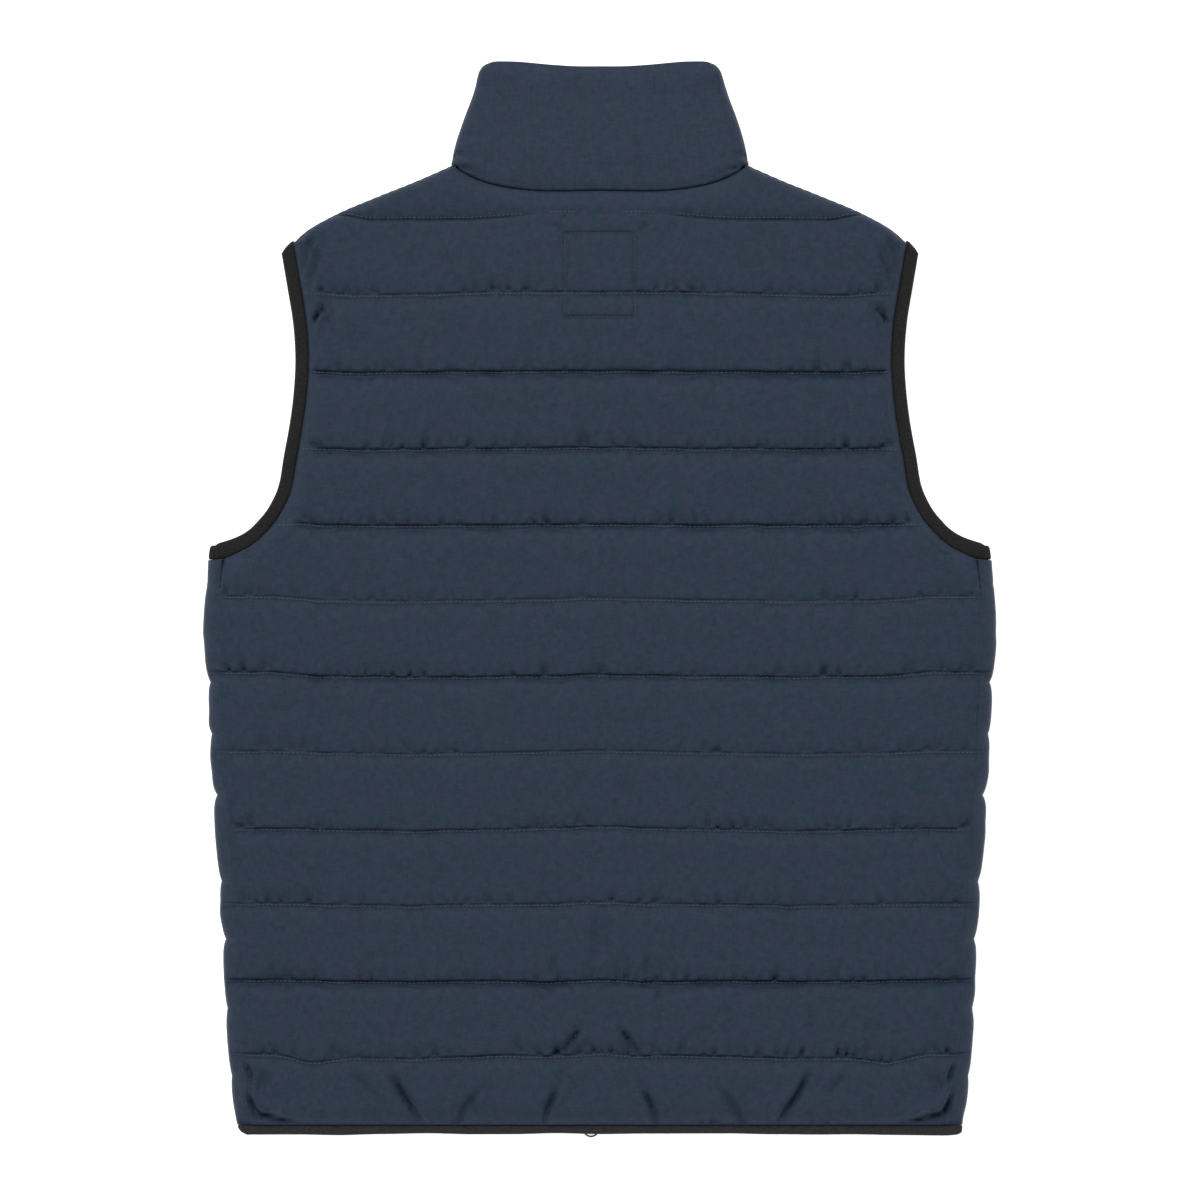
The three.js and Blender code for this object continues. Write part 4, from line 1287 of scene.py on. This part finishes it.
def swept_strip(name, stations, outer, inner, finish, closed, uneven=None, sharp=60.0):
    """A strip through stations; outer and inner are lists of (share across, mm out)."""
    section = [*outer, *reversed(inner)]
    shares = np.array([across for across, _ in section])
    outs = np.array([out for _, out in section])
    flat = np.array([[station["at"](across) for across in shares] for station in stations])
    turns = np.radians([station["turn"] for station in stations])[:, None]
    ways = np.array([station.get("way", (0.0, 0.0)) for station in stations])[:, None, :]
    fills = np.array([station.get("fill", 1.0) for station in stations])[:, None]
    reach = outs[None, :] * np.where(outs[None, :] > 1.0, fills, 1.0)
    if uneven is not None:
        numbers = np.repeat(np.arange(len(stations))[:, None], len(section), axis=1)
        across = np.repeat(shares[None, :], len(stations), axis=0)
        extra = uneven(numbers, across, flat[:, :, 0], flat[:, :, 1], turns)
        reach = reach + np.where(outs[None, :] > 1.0, extra, 0.0)
    rings = np.zeros((*reach.shape, 3))
    rings[:, :, :2] = flat + (reach * np.cos(turns))[:, :, None] * ways
    rings[:, :, 2] = np.maximum(mid_at(flat[:, :, 1]) + reach * np.sin(turns), 0.0)
    size = len(section)
    count = len(rings)
    faces = []
    for i in range(count if closed else count - 1):
        for k in range(size):
            a, b = i * size + k, i * size + (k + 1) % size
            c, d = ((i + 1) % count) * size + (k + 1) % size, ((i + 1) % count) * size + k
            faces.append([a, b, c, d])
    if not closed:
        faces.append(list(range(size - 1, -1, -1)))
        faces.append([(count - 1) * size + k for k in range(size)])
    points = np.array(rings).reshape(-1, 3)
    return object_from(name, points, faces, finish, sharp)


def sampled(curve_points, count):
    """(share, out) pairs along a smooth curve through the given ones."""
    curve = follow(curve_points)
    return [(float(s), float(curve(s))) for s in np.linspace(0, 1, count)]


print("middle plane at the collar's top in mm:", round(float(mid_at(375.0)), 1))

# %% [markdown]
# The stand collar is padded but not quilted, so it is the one smooth piece of the vest.
# It starts at the zip under the neck, folds at the side of the neck and crosses the back.
# Slow noise on its thickness gives it the soft dents of padding that nothing holds in place.

# %% Collar
collar_side_x = follow(
    [
        (303.2, 104.2), (315, 102.2), (337, 95.6), (359.8, 87.6),
        (367, 86.0), (371.5, 84.2), (375.4, 80.2), (377.2, 75.6),
    ]
)
collar_top_y = follow([(0, 373.8), (17.5, 373.9), (35, 375), (59.5, 377.1), (77, 377.3)])
COLLAR_LOW_Y = 303.2
COLLAR_HIGH_Y = 377.2
COLLAR_FRONT_DROP = 56.0
COLLAR_OUTER = [
    (0, 5.5), (0.008, 6.7), (0.03, 7.3), (0.2, 7.7),
    (0.45, 7.8), (0.72, 7.8), (0.92, 6.8), (1, 3.8),
]
COLLAR_INNER = [(0, 0.3), (0.2, 0.9), (0.4, 0.9), (0.6, 0.9), (0.8, 0.9), (1, 0.9)]
collar_out = follow(COLLAR_OUTER)


def collar_fold(across):
    """The collar's fold at the side of the neck, in the middle of its thickness."""
    y = mix(COLLAR_LOW_Y, COLLAR_HIGH_Y, across)
    return float(collar_side_x(y)) - float(collar_out(across)), y


def collar_back(along):
    """A station across the back of the neck; along runs from -1 at the left fold to 1."""
    seam = float(back_neck_y(abs(along) * collar_fold(0.0)[0])) + SEAM_GAP

    def at(across):
        x = along * collar_fold(across)[0]
        return x, mix(seam, float(collar_top_y(abs(x))), across)

    return {"turn": 90, "at": at}


def collar_turn(side, turn):
    """A station at the fold beside the neck."""

    def at(across):
        x, y = collar_fold(across)
        return side * x, y

    return {"turn": turn, "at": at, "way": (side, 0.0)}


def collar_front(side, along):
    """A station under the neck; along runs from 0 at the fold to 1 at the zip."""
    zip_edge = side * ZIP_X + ZIP_EDGE
    angle = mix(math.pi / 2, math.asin(zip_edge / NECK_X), along)
    seam_at_x = (NECK_X - 2.0) * math.sin(angle)
    seam_at_y = NECK_Y + SEAM_GAP - (FRONT_NECK_DROP - SEAM_GAP) * math.cos(angle)
    fold_x, fold_y = collar_fold(1.0)
    top_x = mix(fold_x, zip_edge, along)
    top_y = fold_y - COLLAR_FRONT_DROP * (1 - (1 - along) ** 2)

    def at(across):
        x, _ = collar_fold(across)
        bulge = x - mix(collar_fold(0.0)[0], fold_x, across)
        start = zip_edge if along == 1 else seam_at_x
        return (
            side * (mix(start, top_x, across) + bulge * (1 - along) ** 3),
            mix(seam_at_y, top_y, across),
        )

    fill = mix(SEAM_WALL / 7.0, 1.0, float(puff((1 - along) * 90.0)))
    return {"turn": -90, "at": at, "fill": fill}


collar_turns = list(range(78, -79, -12))
front_shares = [*np.linspace(0, 0.86, 34), *np.linspace(0.88, 1.0, 10)]
collar_stations = [collar_front(-1, s) for s in reversed(front_shares)]
collar_stations += [collar_turn(-1, t) for t in reversed(collar_turns)]
collar_stations += [collar_back(s) for s in np.linspace(-1, 1, 121)]
collar_stations += [collar_turn(1, t) for t in collar_turns]
collar_stations += [collar_front(1, s) for s in front_shares]


def collar_section():
    """The collar's outer section, sampled more closely beside its seam and its top edge."""
    shares = [0, 0.008, 0.018, 0.03, 0.05, 0.08, *np.linspace(0.11, 0.9, 24), 0.93, 0.955, 0.975, 0.99, 1]
    return [(float(s), float(collar_out(s))) for s in shares]


COLLAR_CREASES = [
    # A pinched fan of small folds where the collar's fold meets the neck seam.
    {"path": [(-103, 306), (-99, 309), (-93, 312)], "width": 1.5, "depth": 3.6},
    {"path": [(-103, 302.6), (-95, 301.6), (-87, 301)], "width": 1.5, "depth": 2.4},
    {"path": [(-104, 311), (-100, 315), (-98, 320)], "width": 1.5, "depth": 2.2},
    # Soft dents along the fold.
    {"path": [(-97, 316), (-94, 333)], "width": 3.2, "depth": 1.3},
    {"path": [(-84, 352), (-70, 366)], "width": 5.0, "depth": 0.8},
]


def collar_uneven(numbers, across, x, y, turns):
    """Soft dents and creases of the collar in mm, none at its seams."""
    run = numbers * 1.7
    dents = 0.5 * soft_noise(run, across * 74.0, 26.0, 61)
    dents = dents + 0.22 * soft_noise(run, across * 74.0, 9.0, 62)
    on_back = np.repeat(turns > 0.2, x.shape[1], axis=1)
    folds = crease_field(x, y, COLLAR_CREASES) * on_back
    return dents * np.sin(np.pi * np.clip(across, 0.0, 1.0)) ** 0.6 + folds * smooth(across, 0.0, 0.04)


collar_cloth = swept_strip(
    "collar_cloth",
    collar_stations,
    collar_section(),
    sampled(COLLAR_INNER, 7),
    shell,
    closed=False,
    uneven=collar_uneven,
)
print("collar stations:", len(collar_stations))

# %% [markdown]
# The bindings are knitted tape folded over the raw edges, 9 mm wide at the armholes and 6 at the hem.
# A tape that runs round a tight curve ripples along its inner edge, so its thickness varies a little.

# %% Armhole bindings
ON_BACK = 90
ON_FRONT = -90
TURNS = list(range(ON_BACK, ON_FRONT - 1, -15))
BAND_GAP = {ON_BACK: 0.12, ON_FRONT: 0.04}
ARMHOLE_BAND = 9.4
HEM_BAND = 6.0
BAND_OUT = 3.5
BAND_OUTER = [(0, 2.7), (0.1, 3.3), (0.25, 3.5), (0.5, 3.55), (0.75, 3.5), (0.9, 3.2), (1, 2.2)]
BAND_INNER = [(0, 0.3), (1, 0.3)]


def beside_edge(edge, turn, side):
    """Stations along an armhole edge, a function from y to x."""

    def station(y):
        slope = float(edge(y + 0.5)) - float(edge(y - 0.5))
        way = np.array([1.0, -slope]) / math.hypot(1.0, slope)
        cloth = np.array([float(edge(y)), y]) + way * BAND_GAP[turn]
        wide = ARMHOLE_BAND * (1.0 + 0.3 * math.exp(-(y - UNDERARM_Y) / 6.0))

        def at(across):
            place = cloth + way * across * wide
            return side * place[0], place[1]

        return {"turn": turn, "at": at}

    return station


def edge_fold(start, end, way, side):
    """Stations where a binding turns over the vest's edge, at a shoulder or under an arm."""

    def station(turn):
        def at(across):
            return side * mix(start[0], end[0], across), mix(start[1], end[1], across)

        return {"turn": turn, "at": at, "way": (side * way[0], way[1])}

    return station


def armhole_binding(name, side):
    """The binding of one armhole: up the back, over the shoulder and down the front."""
    up = beside_edge(armhole_x, ON_BACK, side)
    down = beside_edge(front_armhole_x, ON_FRONT, side)
    shoulder = edge_fold((212.9, 249.4), (221.1, 240.2), (0.64, 0.77), side)
    underarm = edge_fold((270.9, 28.3), (269.4, 38.2), (1, 0), side)
    heights = [29.2, 29.8, 30.4, 31.2, 32.0, 33.0, 34.2, *np.arange(35.6, 245.6, 1.8)]
    stations = [up(float(y)) for y in heights]
    stations += [shoulder(turn) for turn in TURNS]
    stations += [down(float(y)) for y in reversed(heights)]
    stations += [underarm(turn) for turn in reversed(TURNS)]

    def uneven(numbers, across, x, y, turns):
        spot = numbers * 1.8, side * 40.0 + across * 9.0
        return 0.35 * soft_noise(*spot, 14.0, 71) + 0.2 * soft_noise(*spot, 4.5, 72) - 0.1

    return swept_strip(
        name, stations, sampled(BAND_OUTER, 13), BAND_INNER, knit, closed=True, uneven=uneven
    )


armhole_band_left = armhole_binding("armhole_band_left", -1)
armhole_band_right = armhole_binding("armhole_band_right", 1)
print("armhole bindings made")

# %% Hem binding
HEM_WIDER = 0.7
HEM_CORNER_CUT = {-1: 2.2, 1: -0.6}


def hem_flat(x, turn):
    """A station of the hem binding on the back or on a front, as its turn says."""
    wave = float(soft_noise(np.array([x]), np.array([3.0]), 30.0, 83)[0])
    wide = HEM_BAND + 0.6 * wave + HEM_WIDER * float(smooth(abs(x), 140.0, 215.0))

    def at(across):
        return x, HEM_Y - SEAM_GAP - across * wide

    return {"turn": turn, "at": at}


def hem_turn(side, turn):
    """A station where the hem binding turns over the vest's side."""

    def at(across):
        y = HEM_Y - SEAM_GAP - across * (HEM_BAND + HEM_WIDER - math.cos(math.radians(turn)))
        return side * (float(side_x(y)) - BAND_OUT - HEM_CORNER_CUT[side] * across**2), y

    return {"turn": turn, "at": at, "way": (side, 0.0)}


def hem_binding():
    """From one zip edge round the hem to the other."""
    reach = float(side_x(HEM_Y)) - 3 * BAND_OUT
    stations = [hem_flat(x, ON_FRONT) for x in np.linspace(ZIP_X - ZIP_EDGE, -reach, 100)]
    stations += [hem_turn(-1, turn) for turn in reversed(TURNS)]
    stations += [hem_flat(x, ON_BACK) for x in np.linspace(-reach, reach, 220)]
    stations += [hem_turn(1, turn) for turn in TURNS]
    stations += [hem_flat(x, ON_FRONT) for x in np.linspace(reach, ZIP_X + ZIP_EDGE, 100)]

    def uneven(numbers, across, x, y, turns):
        spot = numbers * 2.3, across * 6.0
        return 0.35 * soft_noise(*spot, 12.0, 81) + 0.3 * soft_noise(*spot, 5.0, 82)

    return swept_strip(
        "hem_band", stations, sampled(BAND_OUTER, 11), BAND_INNER, hem_knit, closed=False, uneven=uneven
    )


hem_band = hem_binding()
print("hem binding made")

# %% [markdown]
# Quilting thread shows as short dashes at the bottom of each line, a shade lighter than the cloth.
# A curve with a bevel would draw one smooth wire, so each stitch is a small capsule of its own.
# All stitches of a panel are joined into one mesh, which keeps the scene light.

# %% Lay stitches along a path
STITCH_LONG = 2.3
STITCH_PITCH = 3.1
STITCH_HALF = 0.3
STITCH_SIDES = 5
STITCH_POINTS = 2 + 3 * STITCH_SIDES


def stitch_centres(path):
    """Start and end points of each stitch along a path of points in mm."""
    steps = np.linalg.norm(np.diff(path, axis=0), axis=1)
    run = np.concatenate([[0.0], np.cumsum(steps)])
    starts = np.arange(STITCH_PITCH, run[-1] - STITCH_PITCH, STITCH_PITCH)

    def place(along):
        return np.stack([np.interp(along, run, path[:, k]) for k in range(3)], axis=1)

    return place(starts), place(starts + STITCH_LONG)


def stitches(name, paths, up):
    """One mesh of stitches along all paths, lying on the side that up points to."""
    turn = np.linspace(0, 2 * np.pi, STITCH_SIDES, endpoint=False)
    shape = [(0.0, 0.0), (0.14, 0.8), (0.5, 1.0), (0.86, 0.8), (1.0, 0.0)]
    points, faces = [], []
    for path in paths:
        for start, end in zip(*stitch_centres(np.asarray(path, float))):
            ahead = (end - start) / max(float(np.linalg.norm(end - start)), 1e-6)
            aside = np.cross(ahead, up)
            aside = aside / max(float(np.linalg.norm(aside)), 1e-6)
            over = np.cross(aside, ahead)
            base = len(points)
            for share, thick in shape:
                sink = up * STITCH_HALF * (0.9 * math.sin(math.pi * share) - 0.1)
                centre = start + (end - start) * share + sink
                if thick == 0.0:
                    points.append(centre)
                    continue
                for angle in turn:
                    around = aside * math.cos(angle) + over * math.sin(angle)
                    points.append(centre + around * STITCH_HALF * thick)
            first, last = base, base + 1 + 3 * STITCH_SIDES
            for k in range(STITCH_SIDES):
                n = (k + 1) % STITCH_SIDES
                faces.append([first, base + 1 + n, base + 1 + k])
                for ring in range(2):
                    a = base + 1 + ring * STITCH_SIDES
                    faces.append([a + k, a + n, a + STITCH_SIDES + n, a + STITCH_SIDES + k])
                a = base + 1 + 2 * STITCH_SIDES
                faces.append([a + k, a + n, last])
    made = small_parts(name, points, faces, thread_finish)
    made.data.shade_smooth()
    return made


UP = np.array([0.0, 0.0, 1.0])
back_surface = BVHTree.FromObject(back_cloth, bpy.context.evaluated_depsgraph_get())


def dropped(x, y):
    """The point of the back's surface below or above (x, y), in mm."""
    hit = back_surface.ray_cast(Vector((x * MM, y * MM, 0.1)), Vector((0.0, 0.0, -1.0)))[0]
    return None if hit is None else np.array(hit) / MM


def ledge_path(index):
    """The path of a quilt line's stitches: just below its groove, or above it on the yoke."""
    on_yoke = index == len(QUILT_LINES) - 1
    reach = float(back_edge_x(QUILT_LINES[index]["y"] - LEDGE_AT)) - 1.0
    xs = np.arange(-reach, reach, 1.5)
    sunk = 0.35 * np.clip(soft_noise(xs, np.full_like(xs, 3.0 * index), 19.0, 45), 0.0, 1.0)
    if on_yoke:
        sunk += 0.6 * np.exp(-(((np.abs(xs) - 45.0) / 9.0) ** 4)) + 0.6 * np.exp(-((xs / 20.0) ** 4))
    spots = [dropped(x, y) for x, y in zip(xs, line_y(index, xs) + (1.4 if on_yoke else -LEDGE_AT))]
    return np.array([spot - UP * down for spot, down in zip(spots, sunk) if spot is not None])


back_stitches = stitches("back_stitches", [ledge_path(k) for k in range(len(QUILT_LINES))], UP)
print("stitch mesh points on the back:", len(back_stitches.data.vertices))

# %% Stitches of the fronts
def front_paths(rows):
    """The quilt lines of a front, as rows of its grid."""
    numbers = [k for k, level in enumerate(front_levels()) if level[3]]
    return [rows[k][1 : FRONT_COLUMNS - 1] for k in numbers]


front_stitches_left = stitches("front_stitches_left", front_paths(front_rows_left), -UP)
front_stitches_right = stitches("front_stitches_right", front_paths(front_rows_right), -UP)
print("stitch mesh points on a front:", len(front_stitches_left.data.vertices))

# %% [markdown]
# A small rectangle is stitched below the middle of the neck, with nothing in it.
# Its stitches lie on the padding, so the height under each is looked up on the finished back.

# %% The stitched rectangle
RECTANGLE = [
    (-RECTANGLE_HALF, RECTANGLE_HIGH),
    (RECTANGLE_HALF, RECTANGLE_HIGH),
    (RECTANGLE_HALF, RECTANGLE_LOW),
    (-RECTANGLE_HALF, RECTANGLE_LOW),
    (-RECTANGLE_HALF, RECTANGLE_HIGH),
]


def laid_path(corners, step=1.0):
    """Points on the back along straight runs between corners."""
    laid = []
    for (ax, ay), (bx, by) in zip(corners[:-1], corners[1:]):
        count = max(int(math.hypot(bx - ax, by - ay) / step), 2)
        laid += [dropped(mix(ax, bx, s), mix(ay, by, s)) for s in np.linspace(0, 1, count)]
    return np.array(laid)


rectangle_sides = [laid_path(RECTANGLE[k : k + 2]) for k in range(4)]
rectangle_stitches = stitches("rectangle_stitches", rectangle_sides, UP)
print("rectangle stitches:", len(rectangle_stitches.data.vertices) // STITCH_POINTS)

# %% Painted shade in the needle holes of the rectangle
HOLE_HALF = 0.5
HOLE_SIDES = 6
HOLE_BACK = 0.4


def painted_hole_shade(name, paths):
    """Small near-black nubs between the stitches: painted shade where the thread goes down into the
    padding.
    """
    points, faces = [], []
    for path in paths:
        starts, _ = stitch_centres(path)
        ahead = (path[-1] - path[0]) / np.linalg.norm(path[-1] - path[0])
        for centre in starts - ahead * HOLE_BACK:
            base = len(points)
            points.append(centre + UP * 0.12)
            for height, size in ((0.05, 0.8), (-0.5, 1.0)):
                for angle in np.linspace(0, 2 * np.pi, HOLE_SIDES + 1)[:-1]:
                    aside = np.array([math.cos(angle), math.sin(angle), 0.0]) * HOLE_HALF * size
                    points.append(centre + aside + UP * height)
            points.append(centre - UP * 0.6)
            rim, foot = base + 1, base + 1 + HOLE_SIDES
            for k in range(HOLE_SIDES):
                n = (k + 1) % HOLE_SIDES
                faces.append([base, rim + k, rim + n])
                faces.append([rim + k, foot + k, foot + n, rim + n])
                faces.append([foot + k, foot + HOLE_SIDES, foot + n])
    # The near-black teeth finish paints the shade inside each needle hole.
    return small_parts(name, points, faces, teeth_and_hole_shade_finish)


rectangle_hole_shade = painted_hole_shade("painted_hole_shade", rectangle_sides)
print("needle holes:", len(rectangle_hole_shade.data.vertices) // (2 + 2 * HOLE_SIDES))

# %% [markdown]
# The zip is closed, so its teeth form one chain of interlocked pairs under the vest.
# Each tooth is a small bevelled block on its tape's edge, 2.5 mm from the next on the same side.

# %% Zip teeth
TOOTH_PITCH = 2.5
TOOTH_LONG = 1.35
CHAIN_HALF = 2.9
CHAIN_LOW = 7.6
CHAIN_HIGH = 10.3
CHAIN_FROM = -370.5
CHAIN_TO = 313.0
TOOTH_BEVEL = 0.3
TOOTH_PAST_MIDDLE = 0.9
FIRST_TOOTH = 0.9
TOOTH_POINTS = 12


def zip_teeth():
    """Both rows of teeth, each reaching past the middle between two of the other row."""
    points, faces = [], []
    count = int((CHAIN_TO - CHAIN_FROM) / TOOTH_PITCH) * 2
    for k in range(count):
        side = 1 if k % 2 else -1
        middle = CHAIN_FROM + FIRST_TOOTH + k * TOOTH_PITCH / 2
        if middle + TOOTH_LONG / 2 > CHAIN_TO:
            break
        reach_out, reach_in = side * CHAIN_HALF, -side * TOOTH_PAST_MIDDLE
        low_x, high_x = sorted((reach_out, reach_in))
        half = TOOTH_LONG / 2
        base = len(points)
        for z, inset in ((CHAIN_LOW, TOOTH_BEVEL), (CHAIN_LOW + TOOTH_BEVEL, 0.0), (CHAIN_HIGH, 0.0)):
            points += [
                (ZIP_X + low_x + inset, middle - half + inset * 0.5, z),
                (ZIP_X + high_x - inset, middle - half + inset * 0.5, z),
                (ZIP_X + high_x - inset, middle + half - inset * 0.5, z),
                (ZIP_X + low_x + inset, middle + half - inset * 0.5, z),
            ]
        faces.append([base + 3, base + 2, base + 1, base])
        faces.append([base + 8, base + 9, base + 10, base + 11])
        for ring in (0, 4):
            for j in range(4):
                n = (j + 1) % 4
                faces.append([base + ring + j, base + ring + n, base + ring + 4 + n, base + ring + 4 + j])
    return small_parts("zip_teeth", points, faces, teeth_and_hole_shade_finish)


teeth = zip_teeth()
print("teeth:", len(teeth.data.vertices) // TOOTH_POINTS)

# %% [markdown]
# Each slider carries a loop of bent wire, of which the lower one peeps out below the hem.
# A closed smooth curve with a round bevel is the wire itself, with no facets at its bends.

# %% Wire pulls
PULL_TILT = math.radians(12.2)
PULL_WIRE = 0.6
WIRE_RINGS = 96
WIRE_SIDES = 14
PULL_PLACES = [
    (-2.2, 0.0),
    (0.0, 0.0),
    (2.2, 0.0),
    (4.27, 4.39),
    (5.15, 10.45),
    (3.64, 14.09),
    (0.0, 15.6),
    (-3.64, 14.09),
    (-5.15, 10.45),
    (-4.27, 4.39),
]
PIVOT_Z = 3.9
LOWER_PIVOT_Y = -361.452
UPPER_PIVOT_Y = 306.0


def closed_catmull(places, count):
    """Points along a closed smooth curve through the places, with its tangents."""
    places = np.array(places, float)
    spots, tangents = [], []
    for share in np.arange(count) / count * len(places):
        i = int(share)
        s = share - i
        a, b, c, d = (places[(i + k) % len(places)] for k in (-1, 0, 1, 2))
        square, cube = 2 * a - 5 * b + 4 * c - d, 3 * b - a - 3 * c + d
        spots.append(0.5 * (2 * b + (c - a) * s + square * s**2 + cube * s**3))
        tangent = (c - a) + 2 * square * s + 3 * cube * s**2
        tangents.append(tangent / np.linalg.norm(tangent))
    return np.array(spots), np.array(tangents)


def wire_pull(name, pivot_y):
    """A wire loop hung in a slider's eye, its round end down on the floor."""
    spots, tangents = closed_catmull(PULL_PLACES, WIRE_RINGS)
    points, faces = [], []
    for (x, down), (tx, td) in zip(spots, tangents):
        for angle in np.linspace(0, 2 * np.pi, WIRE_SIDES, endpoint=False):
            out = PULL_WIRE * math.cos(angle)
            local = (x + out * td, -(down - out * tx), PULL_WIRE * math.sin(angle))
            y = local[1] * math.cos(PULL_TILT) - local[2] * math.sin(PULL_TILT)
            z = local[1] * math.sin(PULL_TILT) + local[2] * math.cos(PULL_TILT)
            points.append((ZIP_X + local[0], pivot_y + y, PIVOT_Z + z))
    for i in range(WIRE_RINGS):
        ring, after = i * WIRE_SIDES, ((i + 1) % WIRE_RINGS) * WIRE_SIDES
        for k in range(WIRE_SIDES):
            n = (k + 1) % WIRE_SIDES
            faces.append([ring + k, ring + n, after + n, after + k])
    return object_from(name, points, faces, metal_finish)


wire_lower = wire_pull("wire_pull_lower", LOWER_PIVOT_Y)
wire_upper = wire_pull("wire_pull_upper", UPPER_PIVOT_Y)
low_ring = min(v.co.y for v in wire_lower.data.vertices)
print("lowest point of the lower pull in mm:", round(low_ring / MM, 2))

# %% [markdown]
# Tapes and sliders keep the shape of their CAD solids, so they only change their finish.

# %% Finishes of the CAD pieces that stay
for kept_node, finish in (
    ("zip_tape_left", tape_finish),
    ("zip_tape_right", tape_finish),
    ("slider_lower", metal_finish),
    ("slider_upper", metal_finish),
):
    kept_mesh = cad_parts[kept_node].data
    kept_mesh.materials.clear()
    kept_mesh.materials.append(finish)
print("CAD pieces that stay: tapes and sliders")

# %% [markdown]
# Every piece rides on a body, and the CAD piece it stands for is hidden.
# Half the surface of some cloth pieces is printed, which is about the cloth's own area.

# %% Tie the pieces to the frame
for piece, body, node_name, slot_name in (
    (back_cloth, "vest", "back_panel", "shell_cloth"),
    (front_cloth_left, "vest", "front_left", "shell_cloth"),
    (front_cloth_right, "vest", "front_right", "shell_cloth"),
    (collar_cloth, "vest", "collar", "shell_cloth"),
    (armhole_band_left, "vest", "armhole_binding_left", "binding_knit"),
    (armhole_band_right, "vest", "armhole_binding_right", "binding_knit"),
    (hem_band, "vest", "hem_binding", "binding_knit"),
    (teeth, "vest", "zip_chain", "zip_teeth"),
    (wire_lower, "lower_pull", "pull_lower", "dark_metal"),
    (wire_upper, "upper_pull", "pull_upper", "dark_metal"),
):
    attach(piece, body)
    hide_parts(node_name)
for sewing in (
    back_stitches,
    front_stitches_left,
    front_stitches_right,
    rectangle_stitches,
    rectangle_hole_shade,
):
    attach(sewing, "vest")
print("pieces tied to the frame")

def half_surface(piece):
    """Half of a piece's surface in square metres, which is about the cloth's own area."""
    return sum(face.area for face in piece.data.polygons) / 2


for piece in (back_cloth, front_cloth_left, collar_cloth, armhole_band_left, hem_band):
    print(piece.name, "half surface:", round(half_surface(piece), 4))
